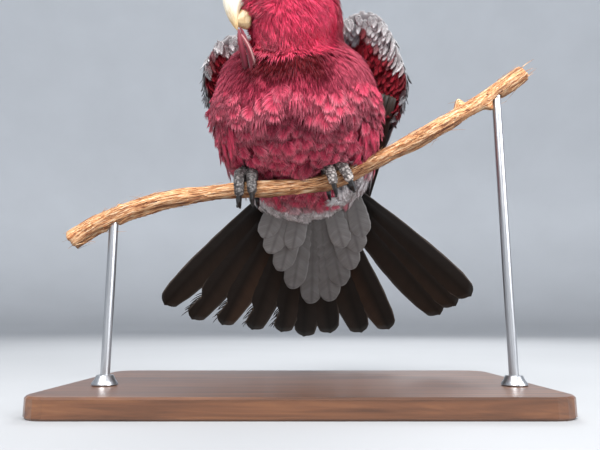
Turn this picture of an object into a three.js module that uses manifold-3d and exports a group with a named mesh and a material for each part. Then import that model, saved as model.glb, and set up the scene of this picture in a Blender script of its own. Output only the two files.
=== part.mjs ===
// Galah (Eolophus roseicapilla) on a cut length of branch, life size, fanning its
// tail and preening, held over a flat base by two rods.
// Millimetres, +Z up. The origin is the middle of the stand base's underside.
// The bird faces -Y, its own left side is +X.
import * as THREE from 'three';
import { mergeVertices } from 'three/addons/utils/BufferGeometryUtils.js';
import Module from 'manifold-3d';

const wasm = await Module();
wasm.setup();

// ---------------------------------------------------------------- dimensions
const PERCH_HEIGHT = 140;        // perch axis between the feet, above the floor
const GAP = 0.3;                 // clearance between neighbouring pieces
const PERCH_RADIUS = 5.6;        // branch where the feet grip it
const BASE = { width: 296, depth: 172, thick: 12, corner: 14, bevel: 1.2, y: 26 };
const ROD_RADIUS = 3;            // steel rods of the stand
const ROD_X = [-121, 132];       // outside the fan of the tail

const TRUNK_LEVELS = [
  // height over the perch axis, centre x, half width, front y, back y
  { z: 118, x: -1, w: 0, front: 10, back: 16 },
  { z: 113, x: -1, w: 24, front: -2, back: 34 },
  { z: 104, x: -2, w: 37, front: -14, back: 46 },
  { z: 96, x: -2.5, w: 44.5, front: -25, back: 55 },
  { z: 88, x: -2.6, w: 50, front: -34, back: 62 },
  { z: 77, x: -2.4, w: 55, front: -43, back: 70 },
  { z: 65, x: -2.1, w: 58.5, front: -49.5, back: 76 },
  { z: 53, x: -2, w: 60, front: -52, back: 80 },
  { z: 41, x: -1.8, w: 60, front: -51, back: 83 },
  { z: 30, x: -0.8, w: 57.5, front: -46, back: 85 },
  { z: 20, x: 0.7, w: 53.5, front: -37, back: 85 },
  { z: 11, x: 1.8, w: 48, front: -20, back: 84 },
  { z: 3, x: 2.4, w: 42, front: 2, back: 83 },
  { z: -4, x: 1.5, w: 32, front: 17, back: 82 },
  { z: -10, x: 1, w: 21, front: 31, back: 80 },
  { z: -15, x: 1, w: 0, front: 48, back: 66 },
];

const HEAD = {
  centre: [-15.6, -33.6, 118],   // middle of the skull
  turn: 70,                      // degrees towards the bird's right
  pitch: 18,                     // degrees, bill down
  long: 25, wide: 20.5, high: 23.5,
};
const EYE = { radius: 4.7, x: 8.6, y: 14.2, z: 6.2 };

const TAIL = {
  root: [6, 54, 22],             // where the feather bases meet
  slant: 35,                     // degrees behind the vertical
  arch: 0.002,                   // the outer feathers come forward with the square of their offset
  origin: [0.7, -15],            // point the shafts point away from, in the fan's own plane
  inner: 15, reach: 162.5, corner: 3.7, gap: 112, thick: 1.1, stack: 0.8,
  // one feather each: angle in the fan and extra length
  feathers: [[-45.1, -2], [-35.6, 1], [-26.6, -1], [-17.3, -1], [-8.2, -1], [-1.2, 3.5], [4, 0.5], [9.4, 0], [16.4, 2], [24.6, 2.5], [40.2, 2], [51, -1.5]],
};
const UNDERTAIL = [
  // outline of the grey coverts, in the fan's plane: tips and the notches between them
  [-40, 28], [-31, 59], [-24.5, 65], [-25, 76], [-16, 83], [-14, 95], [-4, 99], [1.5, 112],
  [10, 91], [22, 108], [26.5, 96], [31, 91], [33, 79], [37.5, 73], [38.5, 62], [41, 56], [46, 27],
];
// grey feathers of the mantle and shoulders, over the roots of both wings
const MANTLE = { top: [-1, 24, 119], bottom: [4, 98, 54], width: 53, thick: 12 };

// a wing: arm edge from the neck over the top to the wrist, then the long feathers
const WING_LEFT = {
  side: 1,
  edge: [[26, 22, 130], [43, 20, 141], [58, 18, 136], [68, 15, 119], [73.5, 11, 97], [76.5, 9, 78], [72, 17, 58]],
  chord: [40, 58, 74, 84, 84, 70, 40],
  wrist: [75.5, 10, 76],
  elbow: [44, 50, 118],
  hand: [-0.15, 0.62, -0.77],
  flight: [-0.2, 0.71, -0.675],
  inner: [-0.06, 0.60, -0.80],
};
const WING_RIGHT = {
  side: -1,
  edge: [[-26, 22, 116], [-43, 20, 123], [-57, 20, 119], [-66, 18, 108], [-70, 16, 93], [-68.5, 18, 78], [-65, 26, 62]],
  chord: [40, 56, 70, 80, 82, 70, 42],
  wrist: [-68.5, 17, 88],
  elbow: [-44, 54, 112],
  hand: [0.1, 0.5, -0.86],
  flight: [0.235, 0.71, -0.664],
  inner: [0.06, 0.60, -0.80],
};
const QUILLS = [
  // free edge of the folded flight feathers: length from the wrist, place across the wing, height
  [226, 1, 0], [245, 6, 0], [238, 10, -0.6], [258, 14, 0.4], [247, 18, -0.4], [252, 21, 0.8], [231, 25, 0], [236, 27, 1],
  [212, 31, 0.2], [218, 33, 1.2], [192, 36, 0.4], [198, 38, 1.4], [160, 42, 0.8], [170, 44, 1.8], [118, 47, 1.2], [137, 52, 2.6],
  [121, 58, 1.4], [131, 64, 2.8], [113, 70, 1.6], [121, 76, 3], [103, 82, 1.8], [108, 87, 3.2], [84, 92, 2.2],
];

// colours
const PINK = 0xd8506f, PALE_PINK = 0xe9b7bf, CRIMSON = 0x9c2b45, GREY = 0xb9b6ba;
const DARK = 0x3a3634, IVORY = 0xe8dfc8, SKIN_GREY = 0x77746f, CLAW = 0x23211f;
const WOOD = 0xc59468, BASE_WOOD = 0x4a3020, STEEL = 0xb9bcc0;

// ------------------------------------------------------------------- helpers
const V = (a) => new THREE.Vector3(...a);
const smooth = (e0, e1, x) => { const t = Math.min(1, Math.max(0, (x - e0) / (e1 - e0))); return t * t * (3 - 2 * t); };
const spow = (v, p) => Math.sign(v) * Math.pow(Math.abs(v), p);

// value of a table at t in 0..1, through its rows, smoothly
function along(rows, t) {
  const n = rows.length - 1, f = Math.min(n - 1e-9, Math.max(0, t * n)), i = Math.floor(f), k = f - i;
  const p = (j) => rows[Math.min(n, Math.max(0, j))];
  return 0.5 * ((2 * p(i)) + (-p(i - 1) + p(i + 1)) * k + (2 * p(i - 1) - 5 * p(i) + 4 * p(i + 1) - p(i + 2)) * k * k
    + (-p(i - 1) + 3 * p(i) - 3 * p(i + 1) + p(i + 2)) * k * k * k);
}

// geometry -> closed solid, faces out
function solid(geometry) {
  const g = geometry.clone();
  for (const name of ['normal', 'uv', 'color']) if (g.getAttribute(name)) g.deleteAttribute(name);
  const m = mergeVertices(g, 1e-4);
  const pos = new Float32Array(m.getAttribute('position').array);
  const tri = [];
  const index = m.index.array;
  for (let i = 0; i < index.length; i += 3) {
    const [a, b, c] = [index[i], index[i + 1], index[i + 2]];
    if (a !== b && b !== c && a !== c) tri.push(a, b, c);
  }
  let volume = 0;
  const p = (i) => new THREE.Vector3(pos[3 * i], pos[3 * i + 1], pos[3 * i + 2]);
  for (let i = 0; i < tri.length; i += 3) volume += p(tri[i]).dot(p(tri[i + 1]).cross(p(tri[i + 2])));
  if (volume < 0) for (let i = 0; i < tri.length; i += 3) [tri[i], tri[i + 1]] = [tri[i + 1], tri[i]];
  return new wasm.Manifold(new wasm.Mesh({ numProp: 3, vertProperties: pos, triVerts: new Uint32Array(tri) }));
}

// solid -> geometry
function surface(manifold) {
  const mesh = manifold.getMesh();
  const g = new THREE.BufferGeometry();
  const n = mesh.numProp;
  const pos = new Float32Array((mesh.vertProperties.length / n) * 3);
  for (let i = 0; i < pos.length / 3; i++) for (let k = 0; k < 3; k++) pos[3 * i + k] = mesh.vertProperties[n * i + k];
  g.setAttribute('position', new THREE.BufferAttribute(pos, 3));
  g.setIndex(new THREE.BufferAttribute(new Uint32Array(mesh.triVerts), 1));
  return g;
}

// the same solid, its surface moved out by d
function grown(manifold, d) {
  const g = mergeVertices(surface(manifold), 1e-4);
  g.computeVertexNormals();
  const p = g.getAttribute('position'), n = g.getAttribute('normal');
  for (let i = 0; i < p.count; i++) p.setXYZ(i, p.getX(i) + d * n.getX(i), p.getY(i) + d * n.getY(i), p.getZ(i) + d * n.getZ(i));
  return solid(g);
}

// only the largest of the bodies that a cut leaves
function largest(manifold) {
  const parts = manifold.decompose();
  parts.sort((a, b) => b.volume() - a.volume());
  return parts[0];
}

// a ball drawn out: at(t, a) gives the point at t from pole to pole and angle a round it
function drawn(around, lengthwise, at) {
  const g = new THREE.SphereGeometry(1, around, lengthwise);
  const p = g.getAttribute('position');
  for (let i = 0; i < p.count; i++) {
    const y = Math.min(1, Math.max(-1, p.getY(i)));
    const q = at(Math.acos(y) / Math.PI, Math.atan2(p.getZ(i), -p.getX(i)));
    p.setXYZ(i, q.x, q.y, q.z);
  }
  return solid(g);
}

// a round-ended limb along a curve; radius(t, a) is measured from the curve
function limb(around, lengthwise, curve, radius, up = new THREE.Vector3(0, 0, 1)) {
  return drawn(around, lengthwise, (t, a) => {
    const c = curve.getPoint(t), d = curve.getTangent(t);
    const s = new THREE.Vector3().crossVectors(d, up).normalize();
    const u = new THREE.Vector3().crossVectors(s, d).normalize();
    const r = t <= 1e-6 || t >= 1 - 1e-6 ? 0 : radius(t, a);
    return c.addScaledVector(s, r * Math.cos(a)).addScaledVector(u, r * Math.sin(a));
  });
}

// a feather: a thin blade along a bent shaft
const BLADE_STOPS = [0, 0.18, 0.5, 0.82, 0.94, 1];
function blade({ from, via, to, width, thick, out, root = 0.4, tip = 0.4, cup = 0, skew = 0, stops = BLADE_STOPS, bend }) {
  const n = stops.length - 1;
  const g = new THREE.BoxGeometry(2, 2, 2, cup ? 2 : 1, n, 1);
  const p = g.getAttribute('position');
  const curve = new THREE.QuadraticBezierCurve3(from, via || from.clone().lerp(to, 0.5), to);
  for (let i = 0; i < p.count; i++) {
    const t = stops[Math.round((p.getY(i) + 1) / 2 * n)];
    const x = p.getX(i), z = p.getZ(i);
    const c = curve.getPoint(t), d = curve.getTangent(t);
    const o = (typeof out === 'function' ? out(t) : out).clone();
    o.addScaledVector(d, -o.dot(d)).normalize();
    const s = new THREE.Vector3().crossVectors(d, o);
    const w = 0.5 * width * (root + (1 - root) * smooth(0, 0.4, t)) * (tip + (1 - tip) * Math.sqrt(Math.max(0, 1 - Math.pow(smooth(0.78, 1.0, t), 2))));
    c.addScaledVector(s, x * w + skew * w * smooth(0, 0.4, t)).addScaledVector(o, z * thick / 2 - cup * x * x);
    if (bend) bend(c);
    p.setXYZ(i, c.x, c.y, c.z);
  }
  return solid(g);
}

// a thin plate whose columns run along the feathers: each column has its own root and tip,
// so the free edge follows the feather tips and the notches between them
function plate(columns, rows, at) {
  const n = columns.length - 1, m = rows.length - 1;
  const g = new THREE.BoxGeometry(2, 2, 2, n, m, 1);
  const p = g.getAttribute('position');
  for (let i = 0; i < p.count; i++) {
    const column = columns[Math.round((p.getX(i) + 1) / 2 * n)], t = rows[Math.round((p.getY(i) + 1) / 2 * m)];
    const q = at(column, t, p.getZ(i));
    p.setXYZ(i, q.x, q.y, q.z);
  }
  return solid(g);
}

const union = (list) => list.reduce((a, b) => a.add(b));

// --------------------------------------------------------------------- perch
const perchCurve = new THREE.CatmullRomCurve3([
  [-147, -3, -38], [-130.9, -2, -26.6], [-109.7, -1, -17.2], [-88.3, 0, -11], [-66.5, 0, -7.1], [-44.9, 0, -3.8], [-25.9, 0, -3], [-8.3, 0, -1.9],
  [9.5, 0, -0.2], [25.2, 0, 3.9], [48.7, 0, 15.2], [71.2, -1, 27.4], [93.9, -2, 39.8], [117, -3, 53.3], [140.5, -4, 69.5], [151, -5, 77],
].map(V), false, 'centripetal');
function perchRadius(t, a) {
  const swell = 0.5 * Math.sin(9 * t + 1) * Math.sin(23 * t + 2);
  const knob = 1.7 * Math.exp(-Math.pow((t - 0.843) / 0.022, 2));
  return PERCH_RADIUS - 0.2 + 0.9 * Math.exp(-Math.pow((t - 0.09) / 0.16, 2)) + swell + knob + 0.35 * Math.sin(2 * a + 14 * t) + 0.25 * Math.sin(3 * a - 8 * t);
}
function perchSolid(extra, rings = 16, round = 8) {
  const g = new THREE.CylinderGeometry(1, 1, 1, round, rings);
  const p = g.getAttribute('position');
  const up = new THREE.Vector3(0, 1, 0);
  for (let i = 0; i < p.count; i++) {
    const t = Math.min(1, Math.max(0, p.getY(i) + 0.5));
    const c = perchCurve.getPoint(t), d = perchCurve.getTangent(t);
    const s = new THREE.Vector3().crossVectors(d, up).normalize(), u = new THREE.Vector3().crossVectors(s, d).normalize();
    const rr = Math.hypot(p.getX(i), p.getZ(i));
    const a = Math.atan2(p.getZ(i), p.getX(i));
    const r = rr < 0.5 ? 0 : perchRadius(t, a) + extra;
    c.addScaledVector(s, r * Math.cos(a)).addScaledVector(u, r * Math.sin(a));
    p.setXYZ(i, c.x, c.y, c.z);
  }
  return solid(g);
}
function stub(t, side, length, r0, r1) {
  const c = perchCurve.getPoint(t), to = c.clone().add(V(side).normalize().multiplyScalar(length));
  return limb(5, 4, new THREE.LineCurve3(c, to), (k) => (r0 + (r1 - r0) * k) * Math.sqrt(Math.sin(Math.PI * Math.min(1, 0.12 + k * 0.95))));
}
let perch = perchSolid(0)
  .add(stub(0.842, [-0.25, -0.1, 1], 12.5, 5.2, 3.4))
  .add(stub(0.884, [0.55, -0.25, -0.8], 12, 5, 2))
  .add(stub(0.12, [-0.5, -0.5, 0.6], 8.5, 4.2, 2));
const perchRoom = perchSolid(GAP + 1.1, 14, 6);
const perchClose = grown(perch, GAP);

// ---------------------------------------------------------------- foot, claws
// a toe lies round the branch: from the top of the branch over the front (or back) and under
function perchAt(x) {
  let lo = 0, hi = 1;
  for (let i = 0; i < 40; i++) { const m = (lo + hi) / 2; if (perchCurve.getPoint(m).x < x) lo = m; else hi = m; }
  return { point: perchCurve.getPoint(lo), tangent: perchCurve.getTangent(lo) };
}
function toeCurve(x, splay, start, end, radius) {
  // angles from straight up, positive towards the front of the branch
  const points = [];
  for (let i = 0; i <= 8; i++) {
    const k = i / 8, ang = THREE.MathUtils.degToRad(start + (end - start) * k);
    const at = perchAt(x + splay * k);
    const u = new THREE.Vector3(0, 0, 1).addScaledVector(at.tangent, -at.tangent.z).normalize();
    const f = new THREE.Vector3().crossVectors(at.tangent, u).normalize().multiplyScalar(-1);
    if (f.y > 0) f.multiplyScalar(-1);
    points.push(at.point.clone().addScaledVector(u, radius(k) * Math.cos(ang)).addScaledVector(f, radius(k) * Math.sin(ang)));
  }
  return new THREE.CatmullRomCurve3(points);
}
function toe(curve, thickness, side) {
  return limb(6, 7, curve, (t, a) => {
    const pads = 1 + 0.1 * Math.cos(2 * Math.PI * 3 * t + 0.6) * (0.6 - 0.4 * Math.sin(a));
    const end = Math.sqrt(Math.min(1, Math.sin(Math.PI * Math.min(1, Math.max(0, 0.08 + 0.87 * t))) * 3.2));
    return 0.5 * thickness * (1.06 - 0.24 * t) * pads * Math.min(1, end) * (1 - 0.16 * Math.max(0, side * Math.sin(a)));
  }, new THREE.Vector3(1, 0, 0));
}
function claw(curve, thickness) {
  const g = new THREE.ConeGeometry(1, 1, 5, 5);
  const p = g.getAttribute('position');
  const up = new THREE.Vector3(1, 0, 0);
  for (let i = 0; i < p.count; i++) {
    const t = Math.min(1, Math.max(0, p.getY(i) + 0.5));
    const c = curve.getPoint(t), d = curve.getTangent(t);
    const s = new THREE.Vector3().crossVectors(d, up).normalize(), u = new THREE.Vector3().crossVectors(s, d).normalize();
    const rr = Math.hypot(p.getX(i), p.getZ(i)), a = Math.atan2(p.getZ(i), p.getX(i));
    const r = rr < 1e-6 ? 0 : 0.5 * thickness * Math.pow(1 - t, 0.62) + (t > 0.999 ? 0 : 0.12);
    c.addScaledVector(s, r * 1.18 * Math.cos(a)).addScaledVector(u, r * 0.86 * Math.sin(a));
    p.setXYZ(i, c.x, c.y, c.z);
  }
  return solid(g);
}
function foot(name, x, toes, ankle, thigh) {
  const pieces = [], claws = [];
  const pad = perchAt(x);
  toes.forEach((q, i) => {
    const width = q.width || 7.2;
    const around = (k) => PERCH_RADIUS + 0.5 * width * 0.95 + 1.2 + (1 - k) * (q.lift || 0);
    const curve = toeCurve(x + q.x, q.splay || 0, -30 * Math.sign(q.end), q.end, around);
    pieces.push(toe(curve, width, q.end > 0 ? -1 : 1));
    // claw: from the toe's end, curving on round and under the branch
    const sign = Math.sign(q.end);
    const clawCurve = toeCurve(x + q.x + (q.splay || 0) * 1.0, (q.splay || 0) * 0.25, q.end - sign * 12, q.end + sign * 56,
      (k) => PERCH_RADIUS + 0.5 * width + 0.5 + 4.2 * Math.sin(Math.PI * Math.min(1, k * 0.92 + 0.04)) - 1.6 * k);
    claws.push([`claw_${name}_${i + 1}`, claw(clawCurve, q.claw || 4.0)]);
  });
  // sole over the branch and the short shank up into the belly
  const sole = pad.point.clone().add(new THREE.Vector3(0, 0, PERCH_RADIUS + 4.6));
  const shank = new THREE.CatmullRomCurve3([sole.clone().add(new THREE.Vector3(0, -1.5, -1.5)), sole.clone().add(new THREE.Vector3(0, 2, 3)), V(ankle)]);
  const shankSolid = limb(6, 5, shank, (t) => (5.6 - 1.3 * smooth(0.1, 0.7, t)) * Math.sqrt(Math.sin(Math.PI * Math.min(1, 0.1 + 0.9 * t))));
  pieces.push(shankSolid);
  pieces.push(drawn(8, 6, (t, a) => {
    const c = Math.cos(Math.PI * t), r = Math.sin(Math.PI * t);
    return new THREE.Vector3(pad.point.x + 7.6 * c, pad.point.y + 6.5 * r * Math.cos(a), pad.point.z + PERCH_RADIUS + 3.6 + 3.9 * r * Math.sin(a));
  }));
  let all = union(pieces);
  // room that the plumage leaves round the toes and the shank
  const room = drawn(8, 6, (t, a) => {
    const c = spow(Math.cos(Math.PI * t), 0.55), r = Math.pow(Math.sin(Math.PI * t), 0.55);
    return new THREE.Vector3(pad.point.x + 12.6 * c, pad.point.y + 2 + 18.2 * r * Math.cos(a), pad.point.z + 16.2 * r * Math.sin(a));
  }).add(grown(shankSolid, 3 * GAP));
  return { solid: all, claws, room };
}
const FOOT_RIGHT = foot('right', -35.6, [
  { x: -3.4, end: 140, splay: -0.6, width: 7.6, claw: 4.4 },
  { x: 4.1, end: 132, splay: 0.5, width: 7.6, claw: 4.3 },
  { x: -3.6, end: -112, splay: -3, width: 7, claw: 3.8 },
  { x: 3.4, end: -124, splay: 3.2, width: 7, claw: 3.8 },
], [-33, 17, 24]);
const FOOT_LEFT = foot('left', 24.8, [
  { x: -3.6, end: 128, splay: -0.8, width: 7.4, claw: 4.3 },
  { x: 3.6, end: 138, splay: 1.6, width: 7.6, claw: 4.4 },
  { x: -3.6, end: -120, splay: -3, width: 7, claw: 3.8 },
  { x: 3.4, end: -112, splay: 3.2, width: 7, claw: 3.8 },
], [28, 18, 31]);

// ------------------------------------------------------------ head and bill
const headTurn = THREE.MathUtils.degToRad(HEAD.turn), headPitch = THREE.MathUtils.degToRad(HEAD.pitch);
const HF = new THREE.Vector3(-Math.sin(headTurn) * Math.cos(headPitch), -Math.cos(headTurn) * Math.cos(headPitch), -Math.sin(headPitch));
const HU = new THREE.Vector3(0, 0, 1).addScaledVector(HF, -HF.z).normalize();
const HL = new THREE.Vector3().crossVectors(HU, HF);   // towards the bird's left
const headAt = (x, y, z) => V(HEAD.centre).addScaledVector(HF, x).addScaledVector(HL, y).addScaledVector(HU, z);

// skull and cheeks as one ball: longer behind, fuller low on the cheeks, flat on the crown
function headBall(extra) {
  return drawn(14, 10, (t, a) => {
    // pole axis across the head is avoided: the poles lie front and back
    const s = Math.cos(Math.PI * t), r = Math.sin(Math.PI * t);
    const y = r * Math.cos(a), z = r * Math.sin(a);
    let px = s * (HEAD.long + extra) * (s > 0 ? 0.9 : 1.05);
    let py = spow(y, 0.93) * (HEAD.wide + extra) * (1 + 0.12 * smooth(0.1, -0.7, z) * smooth(-0.6, 0.3, s)) * (1 - 0.1 * smooth(0.4, 1, s));
    let pz = spow(z, 0.95) * (HEAD.high + extra) * (z > 0 ? 1 - 0.08 * smooth(0.2, 1, s) : 1.02 + 0.2 * smooth(0.1, 0.7, s));
    return headAt(px, py, pz);
  });
}
// fluffed cheek and throat hanging under the head
function throatBall(extra) {
  const c = V([-3.5, -28.5, 100]);
  return drawn(12, 8, (t, a) => {
    const z = Math.cos(Math.PI * t), r = Math.sin(Math.PI * t);
    const x = r * Math.cos(a), y = r * Math.sin(a);
    const low = smooth(0.2, -1, z);
    return new THREE.Vector3(c.x + x * (29.5 + extra) * (1 - 0.12 * low) - 2.5 * low, c.y + y * (27 + extra) * (y < 0 ? 1 : 0.9) * (1 - 0.2 * low) - 1.5 * low, c.z + z * (29 + extra));
  });
}
const billUpperRows = {
  // along the bill from the face to the point: upper edge x,z then lower edge x,z, half width
  ux: [15, 20, 26.5, 31.8, 35.3, 36.7, 36, 34.4, 33], uz: [11, 12.4, 11.6, 8.2, 2.4, -5.2, -12.8, -18.6, -22.6],
  lx: [15, 18.5, 22, 25, 27.2, 29, 30.4, 31.6, 32.7], lz: [-6.6, -7.2, -7.7, -8.4, -9.6, -12.6, -16.8, -20.2, -22.9],
  w: [7.6, 7.8, 7.7, 7.2, 6.5, 5.4, 3.9, 2.2, 0.35],
};
const billLowerRows = {
  ux: [13, 17, 21, 25, 28.5, 31], uz: [-5, -5.5, -6.5, -8.4, -11, -13.6],
  lx: [13, 15.5, 19, 23, 26.8, 30.4], lz: [-15.5, -18.6, -20.4, -20.2, -18.6, -16],
  w: [5.8, 6.3, 6.3, 5.9, 5.1, 3.4],
};
function bill(rows, around, lengthwise, square, extra = 0) {
  const first = 0.001;
  return drawn(around, lengthwise, (t, a) => {
    const k = smooth(0, 1, t) * 0.35 + t * 0.65;
    const up = { x: along(rows.ux, k), z: along(rows.uz, k) }, lo = { x: along(rows.lx, k), z: along(rows.lz, k) };
    const w = along(rows.w, k) + extra;
    const end = t <= first || t >= 1 - first ? 0 : 1;
    const blunt = Math.min(1, Math.sqrt(Math.sin(Math.PI * Math.min(1, Math.max(0, t))) * 2.6));
    const c = spow(Math.cos(a), square), s = spow(Math.sin(a), square);
    const mx = (up.x + lo.x) / 2, mz = (up.z + lo.z) / 2, hx = (up.x - lo.x) / 2, hz = (up.z - lo.z) / 2;
    const len = Math.hypot(hx, hz) || 1e-6, grow = (len + extra) / len;
    return headAt(mx + hx * s * grow * blunt * end, w * c * blunt * end * (s > 0 ? 1 - 0.25 * s * s : 1), mz + hz * s * grow * blunt * end);
  });
}
let billUpper = bill(billUpperRows, 11, 12, 0.92);
let billLower = bill(billLowerRows, 10, 8, 0.9);
billLower = largest(billLower.subtract(grown(billUpper, GAP)));

const eyeBall = (side, extra) => drawn(8, 7, (t, a) => {
  const r = EYE.radius + extra, z = Math.cos(Math.PI * t), q = Math.sin(Math.PI * t);
  return headAt(EYE.x + r * q * Math.cos(a), side * EYE.y + r * q * Math.sin(a), EYE.z + r * z);
});
const eyeLeft = eyeBall(1, 0), eyeRight = eyeBall(-1, 0);

// short rounded crest lying flat along the crown, its tip just free at the back
const crestCurve = new THREE.CatmullRomCurve3([headAt(17, 0, 13), headAt(7, 0, 19.4), headAt(-8, 0, 21.4), headAt(-20, 0, 18.4), headAt(-31, 0, 11.5)]);
let crest = drawn(8, 7, (t, a) => {
  const c = crestCurve.getPoint(t), d = crestCurve.getTangent(t);
  const s = new THREE.Vector3().crossVectors(d, HL).normalize();
  if (s.dot(HU) < 0) s.multiplyScalar(-1);
  const k = t <= 1e-6 || t >= 1 - 1e-6 ? 0 : Math.sqrt(Math.sin(Math.PI * t));
  return c.addScaledVector(HL, k * (4 + 8.5 * Math.sin(Math.PI * Math.min(1, t * 1.02))) * Math.cos(a)).addScaledVector(s, k * (4.4 - 1.6 * t) * Math.sin(a));
});

// --------------------------------------------------------------------- trunk
function trunkBall(extra) {
  const rows = TRUNK_LEVELS, keys = { z: rows.map((r) => r.z), x: rows.map((r) => r.x), w: rows.map((r) => r.w), f: rows.map((r) => r.front), b: rows.map((r) => r.back) };
  return drawn(16, 13, (t, a) => {
    const z = along(keys.z, t), x = along(keys.x, t), f = along(keys.f, t), b = along(keys.b, t);
    const end = t <= 1e-6 || t >= 1 - 1e-6 ? 0 : 1;
    const w = Math.max(0, along(keys.w, t) + extra) * end;
    const c = Math.cos(a), s = Math.sin(a);
    const wide = smooth(0, 0.12, t) * smooth(1, 0.9, t);
    const half = (b - f) / 2 * (end ? 1 : 0) + extra * end;
    // fluffed feathers break into low shelves across the breast and belly
    const shelf = 1 + 0.022 * wide * smooth(0.05, -0.5, s) * Math.sin(z * 0.42 + 1.6 * Math.cos(a * 3)) * smooth(88, 60, z);
    return new THREE.Vector3(x + w * spow(c, 0.92) * shelf, (f + b) / 2 + half * spow(s, 0.92) * shelf, z);
  });
}
// nape and sides of the neck
const neckCurve = new THREE.CatmullRomCurve3([V([-9, -36, 122]), V([1, -22, 120]), V([3, -8, 111]), V([-1, 4, 98]), V([-2, 10, 84])]);
const neckBall = (extra) => limb(14, 7, neckCurve, (t) => (extra + along([10, 23.5, 28.5, 33, 30], t)) * Math.min(1, 2.2 * Math.sqrt(Math.sin(Math.PI * t))), new THREE.Vector3(0, 1, 0.4));

// feathered thighs
const thigh = (side, x, z) => drawn(9, 7, (t, a) => {
  const c = Math.cos(Math.PI * t), r = Math.sin(Math.PI * t);
  return new THREE.Vector3(x + side * 2 * c + r * Math.cos(a) * 16, 20 - 9 * c + r * Math.sin(a) * (18 + 2 * c), z + 16 * c);
});
const thighRight = thigh(-1, -30, 20), thighLeft = thigh(1, 33, 27);

// ---------------------------------------------------------------------- tail
const slant = THREE.MathUtils.degToRad(TAIL.slant);
const TD = new THREE.Vector3(0, Math.sin(slant), -Math.cos(slant));   // along the tail
const TN = new THREE.Vector3(0, Math.cos(slant), Math.sin(slant));    // to its upper side
const fanAt = (a, b, n = 0) => V(TAIL.root).add(new THREE.Vector3(a, 0, 0)).addScaledVector(TD, b).addScaledVector(TN, n - TAIL.arch * a * a);
const fanNormal = (a) => TN.clone().add(new THREE.Vector3(2 * TAIL.arch * a, 0, 0)).normalize();
const fanColumns = [];
TAIL.feathers.forEach(([degrees, more], i) => {
  const r = TAIL.reach + more, n = -TAIL.stack * (Math.abs(i - 5.5) - 0.5);
  fanColumns.push({ g: degrees - TAIL.corner, r: r - 4, n: n + 0.5 }, { g: degrees + TAIL.corner, r: r - 1.5, n });
  if (i < TAIL.feathers.length - 1) {
    const apart = TAIL.feathers[i + 1][0] - degrees;
    fanColumns.push({ g: degrees + apart / 2, r: apart > 13 ? TAIL.gap : r - apart * 1.15, n: n - 0.3 });
  }
});
for (let i = 1; i < fanColumns.length; i++) fanColumns[i].g = Math.max(fanColumns[i].g, fanColumns[i - 1].g + 0.25);
let tail = plate(fanColumns, [0, 0.5, 1], (c, t, side) => {
  const g = THREE.MathUtils.degToRad(c.g), r = TAIL.inner + (c.r - TAIL.inner) * t;
  const a = TAIL.origin[0] + r * Math.sin(g), b = TAIL.origin[1] + r * Math.cos(g);
  return fanAt(a, b, c.n * t).addScaledVector(fanNormal(a), side * TAIL.thick / 2);
});
// grey leaf-shaped coverts under the tail
let undertail = plate(UNDERTAIL, [0, 0.55, 1], ([a, b], t, side) => {
  const a0 = 5 + (a - 5) * 0.35, b0 = -4;
  const aa = a0 + (a - a0) * t, bb = b0 + (b - b0) * t;
  const depth = -TAIL.stack * 6 - 2.4 - 7.5 * (1 - t) * (1 - t) - 2.4 * (1 - t);
  return fanAt(aa, bb, depth).addScaledVector(fanNormal(aa), side * (1.3 + 5.2 * (1 - t)));
});
// long grey-white coverts above the tail, over the roots of the tail feathers
let uppertail = drawn(8, 5, (t, a) => {
  const b = -44 + 108 * t, k = t <= 1e-6 || t >= 1 - 1e-6 ? 0 : Math.sqrt(Math.sin(Math.PI * t));
  const c = fanAt(0, b, 14 - 10.5 * t);
  return c.add(new THREE.Vector3(k * (26 + 6 * t) * Math.cos(a), 0, 0)).addScaledVector(TN, k * (16 - 13.4 * smooth(0, 0.95, t)) * Math.sin(a));
});

// mantle and scapulars: a shallow grey shell on the back
let mantle = drawn(10, 7, (t, a) => {
  const k = t <= 1e-6 || t >= 1 - 1e-6 ? 0 : Math.pow(Math.sin(Math.PI * t), 0.6);
  const top = V(MANTLE.top), bottom = V(MANTLE.bottom), d = bottom.clone().sub(top).normalize();
  const o = new THREE.Vector3(0, -d.z, d.y).normalize();
  const c = top.clone().lerp(bottom, t).addScaledVector(o, 13 * Math.sin(Math.PI * t) - 3);
  const x = k * MANTLE.width * (1 - 0.4 * t) * Math.cos(a);
  return c.add(new THREE.Vector3(x, 0, 0)).addScaledVector(o, k * MANTLE.thick * Math.sin(a) - 0.0095 * x * x);
});

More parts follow.
